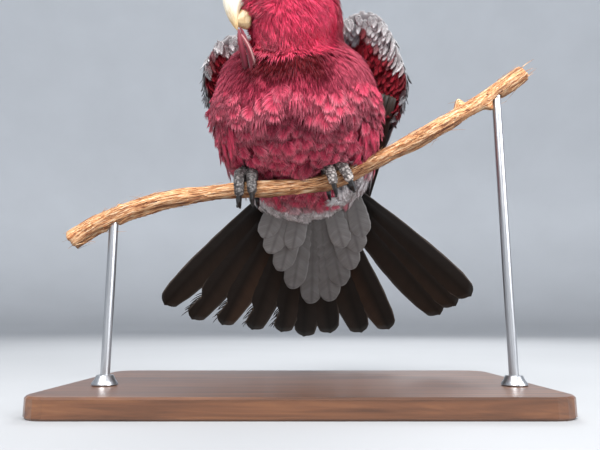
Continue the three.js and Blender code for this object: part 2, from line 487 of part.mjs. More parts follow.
// --------------------------------------------------------------------- wings
function wing(W) {
  const wrist = V(W.wrist), elbow = V(W.elbow);
  const flight = V(W.flight).normalize(), inner = V(W.inner).normalize(), hand = V(W.hand).normalize();
  const edge = new THREE.CatmullRomCurve3(W.edge.map(V));
  // sheet of the wing: q from the leading edge towards the middle of the back, p along the feathers
  const outward = new THREE.Vector3(W.side * 0.9, 0.39, 0.17).normalize();
  const across = elbow.clone().sub(wrist).addScaledVector(outward, -elbow.clone().sub(wrist).dot(outward)).normalize();
  const ROLL = 84;
  const direction = (q) => flight.clone().lerp(inner, smooth(0, 95, q)).normalize();
  const sheet = (p, q, lift = 0) => {
    const g = q / ROLL;
    const o = outward.clone().multiplyScalar(Math.cos(g)).addScaledVector(across, Math.sin(g));
    return { point: wrist.clone().addScaledVector(across, ROLL * Math.sin(g)).addScaledVector(outward, -ROLL * (1 - Math.cos(g))).addScaledVector(direction(q), p).addScaledVector(o, lift), out: o };
  };
  // flight feathers: primaries fall in steps from the wing tip, secondaries and tertials cover them
  const quills = plate(QUILLS, [0, 0.5, 1], ([p1, q1, lift], t, side) => {
    const q0 = 3 + 66 * (q1 / 92), p0 = 46;
    const s = sheet(p0 + (p1 - p0) * t, q0 + (q1 - q0) * t, -3.5 + (lift - 0.5) * t + 4.2 * Math.sin(Math.PI * t) * (1 - q1 / 110));
    return s.point.addScaledVector(s.out, side * 0.6);
  });
  // coverts, wrist and arm: one thick shell behind the leading edge
  const arm = drawn(10, 11, (t, a) => {
    const e = edge.getPoint(t);
    const k = t <= 1e-6 || t >= 1 - 1e-6 ? 0 : Math.pow(Math.sin(Math.PI * t), 0.42);
    const chord = along(W.chord, t) * k;
    // q of this stretch of the arm: the wrist end sits low, the shoulder end high on the back
    const turn = 1 - t;
    const back = V(W.inner).normalize().lerp(flight, t).normalize();
    const inward = new THREE.Vector3(-W.side, 0, 0);
    const lengthways = back.clone().multiplyScalar(0.93).addScaledVector(new THREE.Vector3(0, 1, 0.1), 0.3 * turn + 0.14).normalize();
    const c = 0.5 - 0.5 * Math.cos(a), s = Math.sin(a);
    const thickness = (5.2 + 3.4 * Math.sin(Math.PI * t)) * k;
    const profile = Math.sqrt(Math.max(0, c)) * (1 - c) * 2.1 + 0.11 * Math.sin(Math.PI * Math.min(1, c * 1.0));
    const sag = chord * (0.16 * c * c + 0.03 * Math.sin(Math.PI * c) * -1);
    const o = outward.clone().lerp(new THREE.Vector3(0, 0.6, 0.8), 0.7 * turn * turn).normalize();
    return e.addScaledVector(lengthways, chord * c).addScaledVector(inward, sag * (0.8 + 1.2 * turn)).addScaledVector(o, thickness * profile * s + 0.4 * s);
  });
  return { arm, quills };
}
const wingLeft = wing(WING_LEFT), wingRight = wing(WING_RIGHT);

// ------------------------------------------------- feathers held in the bill
// three breast feathers drawn forward into the tip of the bill
const billTip = headAt(31.6, 0, -21.6);
const heldRoot = [V([-27, -43, 66]), V([-31.5, -42.5, 66]), V([-36, -41, 68])];
let held = union(heldRoot.map((root, i) => blade({
  from: root, via: root.clone().lerp(billTip, 0.5).add(new THREE.Vector3(2.6 - 1.3 * i, -6.5 + i, 0)), to: billTip.clone().add(new THREE.Vector3(0.5 * i - 0.5, -1.4, -1.2)),
  width: 6.4, thick: 0.9, out: new THREE.Vector3(-0.25 * i, -1, 0.2).normalize(), root: 0.85, tip: 0.25, stops: [0, 0.5, 1],
})));

// --------------------------------------------------------------------- stand
function standBase() {
  const w = BASE.width / 2 - BASE.bevel, d = BASE.depth / 2 - BASE.bevel, r = BASE.corner;
  const shape = new THREE.Shape();
  shape.moveTo(-w + r, -d); shape.lineTo(w - r, -d); shape.absarc(w - r, -d + r, r, -Math.PI / 2, 0, false);
  shape.lineTo(w, d - r); shape.absarc(w - r, d - r, r, 0, Math.PI / 2, false);
  shape.lineTo(-w + r, d); shape.absarc(-w + r, d - r, r, Math.PI / 2, Math.PI, false);
  shape.lineTo(-w, -d + r); shape.absarc(-w + r, -d + r, r, Math.PI, Math.PI * 1.5, false);
  const g = new THREE.ExtrudeGeometry(shape, { depth: BASE.thick - 2 * BASE.bevel, bevelEnabled: true, bevelThickness: BASE.bevel, bevelSize: BASE.bevel, bevelSegments: 1, curveSegments: 2 });
  g.translate(0, BASE.y, BASE.bevel - PERCH_HEIGHT);
  return solid(g);
}
let base = standBase();
const rods = ROD_X.map((x) => {
  const top = perchAt(x).point, foot = BASE.thick - 6 - PERCH_HEIGHT;
  const g = new THREE.CylinderGeometry(ROD_RADIUS, ROD_RADIUS, top.z - foot, 10);
  g.rotateX(Math.PI / 2);
  g.translate(top.x, top.y, (top.z + foot) / 2);
  return solid(g);
});
const collars = ROD_X.map((x) => {
  const top = perchAt(x).point;
  const z = BASE.thick - PERCH_HEIGHT + GAP;
  const profile = [[0, 0], [8, 0], [5.6, 6], [0, 6]].map(([r, h]) => new THREE.Vector2(r, h));
  const g = new THREE.LatheGeometry(profile, 8);
  g.rotateX(Math.PI / 2);
  g.translate(top.x, top.y, z);
  return solid(g);
});

// -------------------------------------------------------- joining and parting
rods.forEach((r) => { perch = perch.subtract(grown(r, GAP)); base = base.subtract(grown(r, GAP)); });
perch = largest(perch);
const collarNodes = collars.map((c, i) => largest(c.subtract(grown(rods[i], GAP))));

const skull = headBall(0).add(throatBall(0));
let feetLeft = FOOT_LEFT.solid.subtract(perchClose), feetRight = FOOT_RIGHT.solid.subtract(perchClose);
const clawNodes = [];
function finishClaws(list, footSolid) {
  for (const [name, c] of list) {
    const nail = largest(c.subtract(perchClose));
    clawNodes.push([name, nail]);
    footSolid = footSolid.subtract(grown(nail, GAP));
  }
  return largest(footSolid);
}
feetLeft = finishClaws(FOOT_LEFT.claws, feetLeft);
feetRight = finishClaws(FOOT_RIGHT.claws, feetRight);

// part a solid from its neighbours by the gap, and from their exact surfaces where they curl
const parted = (solid, ...others) => others.reduce((m, o) => m.subtract(grown(o, GAP)).subtract(o), solid);

const footRoom = FOOT_LEFT.room.add(FOOT_RIGHT.room);
const legs = [thighLeft, thighRight].map((t) => largest(t.subtract(footRoom).subtract(perchRoom)));
const legRoom = grown(legs[0], GAP).add(grown(legs[1], GAP));

const hardHead = grown(billUpper, GAP).add(grown(billLower, GAP)).add(grown(eyeLeft, GAP)).add(grown(eyeRight, GAP));
// clear the eyes' outer faces so that they look out of shallow hollows
const hollow = (side) => drawn(7, 4, (t, a) => {
  const z = Math.cos(Math.PI * t), q = Math.sin(Math.PI * t);
  return headAt(EYE.x + 5.6 * q * Math.cos(a), side * (EYE.y + 5.2 + 2.2 * q * Math.sin(a)), EYE.z + 5.6 * z);
});
let head = largest(skull.subtract(hardHead).subtract(hollow(1)).subtract(hollow(-1)).subtract(grown(crest, GAP)));
const skullRoom = grown(skull, GAP);
let neck = largest(neckBall(0).subtract(skullRoom).subtract(grown(crest, GAP)));
let trunk = parted(trunkBall(0).add(uppertail).subtract(skullRoom), neck).subtract(perchRoom).subtract(footRoom);
trunk = largest(parted(trunk.subtract(feetLeft).subtract(feetRight), legs[0], legs[1]));
held = held.subtract(grown(billUpper, GAP)).subtract(grown(billLower, GAP));

const trunkRoom = grown(trunk, GAP), neckRoom = grown(neck, GAP), headRoom = grown(head, GAP);
undertail = largest(undertail.subtract(trunkRoom).subtract(legRoom));
tail = largest(tail.subtract(trunkRoom).subtract(grown(undertail, GAP)));
const tailRoom = grown(tail, GAP);
mantle = largest(mantle.subtract(trunkRoom).subtract(trunk).subtract(neckRoom).subtract(headRoom));
const mantleRoom = grown(mantle, GAP);
held = largest(held.subtract(trunkRoom).subtract(headRoom).subtract(neckRoom));

function wingNodes(W, other) {
  const keep = (m) => {
    let r = m.subtract(trunkRoom).subtract(neckRoom).subtract(headRoom).subtract(tailRoom);
    if (other) r = r.subtract(other);
    return r;
  };
  const arm = largest(keep(W.arm).subtract(mantleRoom));
  const quills = largest(parted(keep(W.quills).subtract(mantleRoom), arm));
  return { arm, quills };
}
const left = wingNodes(wingLeft, null);
const right = wingNodes(wingRight, grown(left.arm, GAP).add(grown(left.quills, GAP)));

// --------------------------------------------------------------------- group
const galah = new THREE.Group();
galah.position.z = PERCH_HEIGHT;
function place(name, manifold, color, roughness, metalness = 0) {
  const mesh = new THREE.Mesh(surface(manifold), new THREE.MeshStandardMaterial({ color, roughness, metalness }));
  mesh.geometry.computeVertexNormals();
  mesh.name = name;
  galah.add(mesh);
}
place('head', head, PINK, 0.9);
place('crest', crest, PALE_PINK, 0.9);
place('neck', neck, PINK, 0.9);
place('trunk', trunk, PINK, 0.9);
place('mantle', mantle, GREY, 0.85);
place('leg_left', legs[0], PINK, 0.9);
place('leg_right', legs[1], PINK, 0.9);
place('foot_left', feetLeft, SKIN_GREY, 0.7);
place('foot_right', feetRight, SKIN_GREY, 0.7);
clawNodes.forEach(([name, c]) => place(name, c, CLAW, 0.35));
place('bill_upper', billUpper, IVORY, 0.45);
place('bill_lower', billLower, IVORY, 0.45);
place('eye_left', eyeLeft, 0x1a0f0c, 0.1);
place('eye_right', eyeRight, 0x1a0f0c, 0.1);
place('wing_left_coverts', left.arm, GREY, 0.85);
place('wing_left_flight', left.quills, DARK, 0.7);
place('wing_right_coverts', right.arm, GREY, 0.85);
place('wing_right_flight', right.quills, DARK, 0.7);
place('tail', tail, DARK, 0.65);
place('undertail_coverts', undertail, GREY, 0.85);
place('held_feathers', held, CRIMSON, 0.85);
place('perch_branch', perch, WOOD, 0.8);
place('stand_base', base, BASE_WOOD, 0.4);
place('stand_rod_left', rods[1], STEEL, 0.3, 0.9);
place('stand_rod_right', rods[0], STEEL, 0.3, 0.9);
place('stand_collar_left', collarNodes[1], STEEL, 0.3, 0.9);
place('stand_collar_right', collarNodes[0], STEEL, 0.3, 0.9);

export default galah;
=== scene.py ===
"""A galah on a short perch: skin, feather coat, quills, bill, eyes, feet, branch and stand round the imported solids."""
import bpy
import math
import numpy as np
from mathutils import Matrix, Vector
from mathutils.bvhtree import BVHTree
from mathutils.kdtree import KDTree


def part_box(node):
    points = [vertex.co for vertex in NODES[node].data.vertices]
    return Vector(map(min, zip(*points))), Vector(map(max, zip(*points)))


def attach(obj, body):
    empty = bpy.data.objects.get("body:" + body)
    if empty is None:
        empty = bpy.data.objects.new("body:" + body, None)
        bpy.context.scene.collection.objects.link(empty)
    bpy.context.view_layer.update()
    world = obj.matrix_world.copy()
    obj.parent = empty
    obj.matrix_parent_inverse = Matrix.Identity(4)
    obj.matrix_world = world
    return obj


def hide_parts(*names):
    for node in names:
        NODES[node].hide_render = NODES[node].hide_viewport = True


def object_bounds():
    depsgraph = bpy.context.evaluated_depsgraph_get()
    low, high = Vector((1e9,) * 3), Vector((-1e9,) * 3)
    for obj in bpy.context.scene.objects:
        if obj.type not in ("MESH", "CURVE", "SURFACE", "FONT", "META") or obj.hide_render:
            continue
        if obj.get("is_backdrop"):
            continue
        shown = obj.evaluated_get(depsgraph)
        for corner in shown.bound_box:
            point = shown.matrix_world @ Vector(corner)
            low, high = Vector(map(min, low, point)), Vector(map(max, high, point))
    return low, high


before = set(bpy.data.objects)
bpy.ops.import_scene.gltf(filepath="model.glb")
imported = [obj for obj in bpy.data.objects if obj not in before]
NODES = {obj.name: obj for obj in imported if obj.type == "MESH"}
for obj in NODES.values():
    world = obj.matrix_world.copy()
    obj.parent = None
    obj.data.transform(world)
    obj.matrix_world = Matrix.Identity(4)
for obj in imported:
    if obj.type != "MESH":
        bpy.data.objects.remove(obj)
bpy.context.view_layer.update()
H = 140.0                       # height of the perch axis, mm
rng = np.random.default_rng(11)
A = lambda *v: np.array(v, float)


def unit(v):
    v = np.asarray(v, float)
    return v / np.maximum(np.linalg.norm(v, axis=-1, keepdims=True), 1e-9)


def smooth(e0, e1, x):
    t = np.clip((np.asarray(x, float) - e0) / (e1 - e0), 0, 1)
    return t * t * (3 - 2 * t)


def dot(a, b):
    return (a * b).sum(-1)


def srgb(*c):
    """0..255 screen colour to linear light."""
    c = np.array(c, float) / 255
    return np.where(c <= 0.04045, c / 12.92, ((c + 0.055) / 1.055) ** 2.4)


def waves(seed, scale, count=10):
    """Smooth wandering value of place, about -1..1, with features of that size in mm."""
    r = np.random.default_rng(seed)
    k = unit(r.normal(size=(count, 3))) * (2 * np.pi / (scale * r.uniform(1.1, 3.0, (count, 1))))
    ph = r.uniform(0, 2 * np.pi, count)
    return lambda p: np.sin(p @ k.T + ph).sum(-1) / math.sqrt(count / 2) * 0.6


# ------------------------------------------------------------------ head frame
HC = A(-15.6, -33.6, 118 + H)
turn, pitch = math.radians(70), math.radians(18)
HF = A(-math.sin(turn) * math.cos(pitch), -math.cos(turn) * math.cos(pitch), -math.sin(pitch))
HU = unit(A(0, 0, 1) - HF * HF[2])
HL = np.cross(HU, HF)
HEADM = np.stack([HF, HL, HU])          # rows: forward, left, up


def head_at(x, y, z):
    return HC + np.asarray(x)[..., None] * HF + np.asarray(y)[..., None] * HL + np.asarray(z)[..., None] * HU


def head_local(p):
    return (p - HC) @ HEADM.T


EYE_AT, EYE_R = (8.6, 14.2, 6.2), 4.7


# ---------------------------------------------------------------- mesh helpers
def welded(name):
    """A CAD node's vertices in mm and its triangles, with split vertices joined."""
    me = NODES[name].data
    co = np.empty(len(me.vertices) * 3, np.float32)
    me.vertices.foreach_get("co", co)
    co = co.reshape(-1, 3).astype(float) * 1000
    me.calc_loop_triangles()
    tr = np.empty(len(me.loop_triangles) * 3, np.int32)
    me.loop_triangles.foreach_get("vertices", tr)
    key, inv = np.unique(np.round(co, 2), axis=0, return_inverse=True)
    tr = inv.reshape(-1)[tr].reshape(-1, 3)
    tr = tr[(tr[:, 0] != tr[:, 1]) & (tr[:, 1] != tr[:, 2]) & (tr[:, 0] != tr[:, 2])]
    return key, tr


def vertex_normals(v, f):
    n = np.cross(v[f[:, 1]] - v[f[:, 0]], v[f[:, 2]] - v[f[:, 0]])
    out = np.zeros_like(v)
    for k in range(3):
        for a in range(3):
            out[:, a] += np.bincount(f[:, k], n[:, a], len(v))
    return unit(out)


def triangles(f):
    f = np.asarray(f)
    return f if f.shape[1] == 3 else np.concatenate([f[:, [0, 1, 2]], f[:, [0, 2, 3]]])


def relax(v, f, times, amount=0.5, mask=None):
    """Moves each vertex towards the middle of its neighbours."""
    f = np.asarray(f)
    n = f.shape[1]
    e = np.concatenate([f[:, [i, (i + 1) % n]] for i in range(n)])
    e = np.unique(np.sort(e, axis=1), axis=0)
    i, j = np.concatenate([e[:, 0], e[:, 1]]), np.concatenate([e[:, 1], e[:, 0]])
    count = np.maximum(np.bincount(i, minlength=len(v)), 1)
    w = amount if mask is None else amount * mask[:, None]
    for _ in range(times):
        mean = np.stack([np.bincount(i, v[j, a], len(v)) for a in range(3)], -1) / count[:, None]
        v = v + (mean - v) * w
    return v


def build(name, v, f, material, colour=None, uv=None, uvs=None, shade_smooth=True, replaces=()):
    """A mesh object from arrays: vertices in mm, triangles or quads, colour and UV per vertex."""
    me = bpy.data.meshes.new(name)
    f = np.asarray(f, np.int32)
    n = f.shape[1]
    me.vertices.add(len(v))
    me.vertices.foreach_set("co", (np.asarray(v) / 1000).astype(np.float32).ravel())
    me.loops.add(f.size)
    me.loops.foreach_set("vertex_index", f.ravel())
    me.polygons.add(len(f))
    me.polygons.foreach_set("loop_start", np.arange(0, f.size, n, dtype=np.int32))
    me.polygons.foreach_set("loop_total", np.full(len(f), n, np.int32))
    me.update(calc_edges=True)
    me.polygons.foreach_set("use_smooth", np.full(len(f), bool(shade_smooth)))
    if colour is not None:
        a = me.color_attributes.new("tint", "FLOAT_COLOR", "POINT")
        rgba = np.ones((len(v), 4), np.float32)
        rgba[:, :3] = np.clip(colour, 0, 1)
        a.data.foreach_set("color", rgba.ravel())
    for key, val in (uvs or {}).items():
        layer = me.uv_layers.new(name=key)
        layer.data.foreach_set("uv", np.asarray(val, np.float32)[f.ravel()].ravel())
    if uv is not None:
        layer = me.uv_layers.new(name="OFBake")
        uv = np.asarray(uv, np.float32)
        layer.data.foreach_set("uv", (uv if len(uv) == f.size else uv[f.ravel()]).ravel())
    me.validate()
    me.materials.append(material)
    ob = bpy.data.objects.new(name, me)
    bpy.context.scene.collection.objects.link(ob)
    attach(ob, "root")
    if replaces:
        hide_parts(*replaces)
    return ob


def voxel(v, f, size, passes=1):
    """Closed, evenly divided copy of closed meshes that overlap. Returns vertices in mm and quads."""
    me = bpy.data.meshes.new("tmp")
    me.from_pydata((v / 1000).tolist(), [], f.tolist())
    ob = bpy.data.objects.new("tmp", me)
    bpy.context.scene.collection.objects.link(ob)
    m = ob.modifiers.new("r", "REMESH")
    m.mode, m.voxel_size, m.adaptivity = "VOXEL", size / 1000, 0
    dg = bpy.context.evaluated_depsgraph_get()
    ev = ob.evaluated_get(dg)
    out = ev.to_mesh()
    co = np.empty(len(out.vertices) * 3, np.float32)
    out.vertices.foreach_get("co", co)
    quads = [tuple(p.vertices) for p in out.polygons]
    ev.to_mesh_clear()
    bpy.data.objects.remove(ob)
    bpy.data.meshes.remove(me)
    quads = np.array([q if len(q) == 4 else (*q, q[0]) for q in quads], np.int32)
    return co.reshape(-1, 3).astype(float) * 1000, quads


def shells(v, f, least):
    """Only the connected shells of at least that many vertices."""
    parent = np.arange(len(v))
    while True:
        low = parent[f].min(1)
        new = parent.copy()
        for k in range(f.shape[1]):
            np.minimum.at(new, f[:, k], low)
        new = new[new]
        if (new == parent).all():
            break
        parent = new
    lab, inv, cnt = np.unique(parent, return_inverse=True, return_counts=True)
    keep = cnt[inv.reshape(-1)] >= least
    idx = np.cumsum(keep) - 1
    f = f[keep[f[:, 0]]]
    return v[keep], idx[f]


# ------------------------------------------------------------------- materials
def material(name):
    m = bpy.data.materials.new(name)
    m.use_nodes = True
    t = m.node_tree
    p = t.nodes["Principled BSDF"]
    return m, t, p


def node(t, kind, at=None, **kw):
    n = t.nodes.new(kind)
    for k, v in kw.items():
        if k in ("operation", "blend_type", "data_type", "attribute_name", "uv_map", "wave_type", "bands_direction", "noise_dimensions", "feature", "layer_name", "rings_direction"):
            setattr(n, k, v)
        else:
            n.inputs[k.replace("_", " ")].default_value = v
    return n


def link(t, a, b):
    t.links.new(a, b)


def ramp(t, fac, stops):
    n = t.nodes.new("ShaderNodeValToRGB")
    e = n.color_ramp.elements
    while len(e) < len(stops):
        e.new(0.5)
    for el, (pos, col) in zip(e, stops):
        el.position = pos
        el.color = (*col, 1)
    link(t, fac, n.inputs["Fac"])
    return n.outputs["Color"]


def mix(t, kind, fac, a, b):
    n = t.nodes.new("ShaderNodeMix")
    n.data_type, n.blend_type = "RGBA", kind
    for sock, val in ((n.inputs["Factor"], fac), (n.inputs[6], a), (n.inputs[7], b)):
        if hasattr(val, "links") or hasattr(val, "is_linked"):
            link(t, val, sock)
        elif isinstance(val, (int, float)):
            sock.default_value = val
        else:
            sock.default_value = (*val, 1)
    return n.outputs[2]


def feather_material(name, rough=0.62, sheen=0.35, streak=0.25, bump=0.25, tint=(1, 0.8, 0.85), barb=420.0):
    """Soft vane: the feather's own colour, fine barb streaks across it and faint mottling."""
    m, t, p = material(name)
    col = t.nodes.new("ShaderNodeVertexColor")
    col.layer_name = "tint"
    co = t.nodes.new("ShaderNodeTexCoord")
    fine = node(t, "ShaderNodeTexNoise", Scale=barb, Detail=3.0, Roughness=0.6)
    link(t, co.outputs["Object"], fine.inputs["Vector"])
    broad = node(t, "ShaderNodeTexNoise", Scale=70.0, Detail=2.0)
    link(t, co.outputs["Object"], broad.inputs["Vector"])
    a = ramp(t, fine.outputs["Fac"], [(0.3, (1 - streak,) * 3), (0.7, (1 + 0 * streak,) * 3)])
    b = ramp(t, broad.outputs["Fac"], [(0.3, (0.86,) * 3), (0.7, (1, 1, 1))])
    c = mix(t, "MULTIPLY", 1.0, col.outputs["Color"], a)
    c = mix(t, "MULTIPLY", 1.0, c, b)
    link(t, c, p.inputs["Base Color"])
    p.inputs["Roughness"].default_value = rough
    p.inputs["Specular IOR Level"].default_value = 0.14
    p.inputs["Sheen Weight"].default_value = sheen
    p.inputs["Sheen Roughness"].default_value = 0.45
    p.inputs["Sheen Tint"].default_value = (*tint, 1)
    bp = node(t, "ShaderNodeBump", Strength=bump, Distance=0.0004)
    link(t, fine.outputs["Fac"], bp.inputs["Height"])
    link(t, bp.outputs["Normal"], p.inputs["Normal"])
    return m


M_PINK = feather_material("feather_pink", sheen=0.12, tint=(1, 0.55, 0.68))
M_HEAD = feather_material("feather_head", sheen=0.12, streak=0.18, tint=(1, 0.6, 0.7), barb=700.0)
M_GREY = feather_material("feather_grey", sheen=0.25, streak=0.2, tint=(1, 1, 1))
M_LINING = feather_material("feather_lining", sheen=0.08, streak=0.25, tint=(1, 0.5, 0.6))


def quill_material(name, brown):
    """Long stiff vane: fine slanting barbs, a brown glow through the thin parts (painted light, carried in the
    feathers' colours), a satin shine.
    """
    m, t, p = material(name)
    col = t.nodes.new("ShaderNodeVertexColor")
    col.layer_name = "tint"
    uvn = node(t, "ShaderNodeUVMap")
    uvn.uv_map = "vane"
    sep = t.nodes.new("ShaderNodeSeparateXYZ")
    link(t, uvn.outputs["UV"], sep.inputs[0])
    absx = node(t, "ShaderNodeMath", operation="ABSOLUTE")
    link(t, sep.outputs["X"], absx.inputs[0])
    slant = node(t, "ShaderNodeMath", operation="MULTIPLY")
    slant.inputs[1].default_value = 0.75
    link(t, absx.outputs[0], slant.inputs[0])
    along = node(t, "ShaderNodeMath", operation="SUBTRACT")
    link(t, sep.outputs["Y"], along.inputs[0])
    link(t, slant.outputs[0], along.inputs[1])
    comb = t.nodes.new("ShaderNodeCombineXYZ")
    sx = node(t, "ShaderNodeMath", operation="MULTIPLY")
    sx.inputs[1].default_value = 0.06
    link(t, sep.outputs["X"], sx.inputs[0])
    link(t, sx.outputs[0], comb.inputs[0])
    link(t, along.outputs[0], comb.inputs[1])
    barbs = node(t, "ShaderNodeTexNoise", Scale=1.9, Detail=2.0, Roughness=0.55)
    link(t, comb.outputs[0], barbs.inputs["Vector"])
    broad = node(t, "ShaderNodeTexNoise", Scale=0.13, Detail=2.0)
    link(t, comb.outputs[0], broad.inputs["Vector"])
    a = ramp(t, barbs.outputs["Fac"], [(0.32, (0.72,) * 3), (0.68, (1.0,) * 3)])
    b = ramp(t, broad.outputs["Fac"], [(0.3, (0.8, 0.78, 0.76)), (0.7, (1.0, 1.0, 1.0))])
    c = mix(t, "MULTIPLY", 1.0, col.outputs["Color"], a)
    c = mix(t, "MULTIPLY", 1.0, c, b)
    link(t, c, p.inputs["Base Color"])
    p.inputs["Roughness"].default_value = 0.46
    p.inputs["Specular IOR Level"].default_value = 0.25
    p.inputs["Sheen Weight"].default_value = 0.08
    p.inputs["Sheen Tint"].default_value = (*brown, 1)
    bp = node(t, "ShaderNodeBump", Strength=0.3, Distance=0.0003)
    link(t, barbs.outputs["Fac"], bp.inputs["Height"])
    link(t, bp.outputs["Normal"], p.inputs["Normal"])
    return m


M_QUILL = quill_material("quill_dark", (0.8, 0.55, 0.35))
M_LEAF = quill_material("covert_leaf", (1, 1, 1))
for key, val in (("Roughness", 0.6), ("Specular IOR Level", 0.25), ("Sheen Weight", 0.25)):
    M_LEAF.node_tree.nodes["Principled BSDF"].inputs[key].default_value = val


# ------------------------------------------------------------------------ skin
FLESH = ["head", "neck", "trunk", "mantle", "leg_left", "leg_right", "wing_left_coverts", "wing_right_coverts"]
LABEL = {n: i for i, n in enumerate(FLESH)}
HEAD, NECK, TRUNK, MANTLE, LEGL, LEGR, ARML, ARMR = range(8)
parts = [welded(n) for n in FLESH]
all_v = np.concatenate([p[0] for p in parts])
off = np.cumsum([0] + [len(p[0]) for p in parts[:-1]])
all_f = np.concatenate([p[1] + o for p, o in zip(parts, off)])
face_label = np.concatenate([np.full(len(p[1]), i) for i, p in enumerate(parts)])
cad_bvh = BVHTree.FromPolygons(all_v.tolist(), all_f.tolist())


def nearest_label(p):
    out = np.empty(len(p), int)
    for i, q in enumerate(p.tolist()):
        out[i] = face_label[cad_bvh.find_nearest(q)[2]]
    return out


def coat_depth(p, label):
    d = np.choose(label, [3.2, 4.0, 5.0, 3.6, 3.6, 3.6, 2.6, 2.6]).astype(float)
    face = np.linalg.norm(p - head_at(20., 0., 2.), axis=1)
    return np.where(label == HEAD, 1.1 + (d - 1.1) * smooth(8, 34, face), d)


def thickness(v, f, n):
    """Depth of solid straight below each vertex."""
    tree = BVHTree.FromPolygons(v.tolist(), triangles(f).tolist())
    out = np.full(len(v), 60.0)
    for i, (q, d) in enumerate(zip((v - n * 0.3).tolist(), (-n).tolist())):
        hit = tree.ray_cast(q, d, 60)
        if hit[3] is not None:
            out[i] = hit[3] + 0.3
    return out


def soften(v, f, times):
    """Smooths without shrinking."""
    for _ in range(times):
        v = relax(relax(v, f, 1, 0.55), f, 1, -0.57)
    return v


fat = np.concatenate([p[0] + vertex_normals(*p) * 0.55 for p in parts])
sv, sf = voxel(fat, all_f, 1.5)
sv = soften(sv, sf, 8)
lab = nearest_label(sv)
nn = vertex_normals(sv, triangles(sf))
deep = np.minimum(coat_depth(sv, lab) + 0.5, 0.30 * thickness(sv, sf, nn))
deep = relax(np.stack([deep] * 3, -1), sf, 6)[:, 0]
sv = sv - nn * deep[:, None]
sv = relax(sv, sf, 2)
sv, sf = voxel(sv, triangles(sf), 1.6)
sv, sf = shells(sv, sf, 400)
sv = soften(sv, sf, 5)
sn = vertex_normals(sv, triangles(sf))
slabel = nearest_label(sv)

# folds of bare skin round the eyes: rings that rise and fall about each eye
for side in (1, -1):
    loc = head_local(sv)
    d = np.linalg.norm(loc - A(EYE_AT[0], side * EYE_AT[1], EYE_AT[2]), axis=1)
    near = (loc[:, 1] * side > 3) & (d < 14)
    bulge = 0.5 * np.exp(-((d - 7.2) / 1.6) ** 2) - 0.7 * np.exp(-((d - 10) / 1.6) ** 2)
    sv = sv + sn * np.where(near, bulge, 0)[:, None]

sn_wide = unit(relax(sn, sf, 16))
skin_kd = KDTree(len(sv))
for i_, q_ in enumerate(sv.tolist()):
    skin_kd.insert(q_, i_)
skin_kd.balance()


def wide_normal(p):
    """The skin's direction averaged over some mm round each place."""
    return sn_wide[np.array([skin_kd.find(q)[1] for q in p.tolist()], int)]


st = triangles(sf)
skin_bvh = BVHTree.FromPolygons(sv.tolist(), st.tolist())
TRI_N = unit(np.cross(sv[st[:, 1]] - sv[st[:, 0]], sv[st[:, 2]] - sv[st[:, 0]]))


def on_skin(p):
    """Nearest place on the skin, its smooth normal and its triangle, for each point."""
    q, t = np.empty_like(p), np.empty(len(p), int)
    for i, c in enumerate(p.tolist()):
        hit = skin_bvh.find_nearest(c)
        q[i], t[i] = hit[0], hit[2]
    f = st[t]
    a, b, c = sv[f[:, 0]], sv[f[:, 1]], sv[f[:, 2]]
    v0, v1, v2 = b - a, c - a, q - a
    d00, d01, d11, d20, d21 = dot(v0, v0), dot(v0, v1), dot(v1, v1), dot(v2, v0), dot(v2, v1)
    den = np.maximum(d00 * d11 - d01 * d01, 1e-9)
    v = np.clip((d11 * d20 - d01 * d21) / den, 0, 1)
    w = np.clip((d00 * d21 - d01 * d20) / den, 0, 1)
    u = 1 - v - w
    n = unit(sn[f[:, 0]] * u[:, None] + sn[f[:, 1]] * v[:, None] + sn[f[:, 2]] * w[:, None])
    return q, n, t, np.stack([u, v, w], -1)


# unwrap of the skin's own shape: each part of the body, cut by the way it faces, laid flat side by side
def unwrap():
    fl = slabel[st].max(1)
    ax = np.abs(TRI_N).argmax(1)
    sg = (TRI_N[np.arange(len(ax)), ax] > 0).astype(int)
    chart = fl * 6 + ax * 2 + sg
    flat = np.zeros((len(st), 3, 2))
    sizes = []
    for c in np.unique(chart):
        m = chart == c
        keep = [k for k in range(3) if k != ax[m][0]]
        p = sv[st[m]][:, :, keep]
        lo = p.reshape(-1, 2).min(0)
        flat[m] = p - lo
        sizes.append((c, *(p.reshape(-1, 2).max(0) - lo)))
    sizes.sort(key=lambda s: -s[2])
    total = sum((w + 4) * (h + 4) for _, w, h in sizes)
    width = math.sqrt(total) * 1.06
    while True:
        x = y = row = 0.0
        place = {}
        for c, w, h in sizes:
            if x + w + 4 > width:
                x, y, row = 0.0, y + row, 0.0
            place[c] = (x + 2, y + 2)
            x += w + 4
            row = max(row, h + 4)
        if y + row <= width:
            break
        width *= 1.03
    for c, at in place.items():
        flat[chart == c] += at
    return flat / width


SKIN_UV = unwrap()


# --------------------------------------------------- markings and lie of the coat
C_BREAST, C_BELLY = srgb(224, 62, 98), srgb(220, 68, 100)
C_HEAD, C_THROAT = srgb(246, 58, 100), srgb(200, 32, 70)
C_CROWN, C_NAPE = srgb(238, 196, 200), srgb(214, 96, 120)
C_GREY, C_PALE, C_RUMP = srgb(150, 150, 156), srgb(232, 229, 231), srgb(192, 191, 195)
# the wing lining's rose colour is darkened to a deep crimson as painted shade
C_LINING_SHADED, C_VENT = srgb(152, 20, 40), srgb(222, 217, 219)

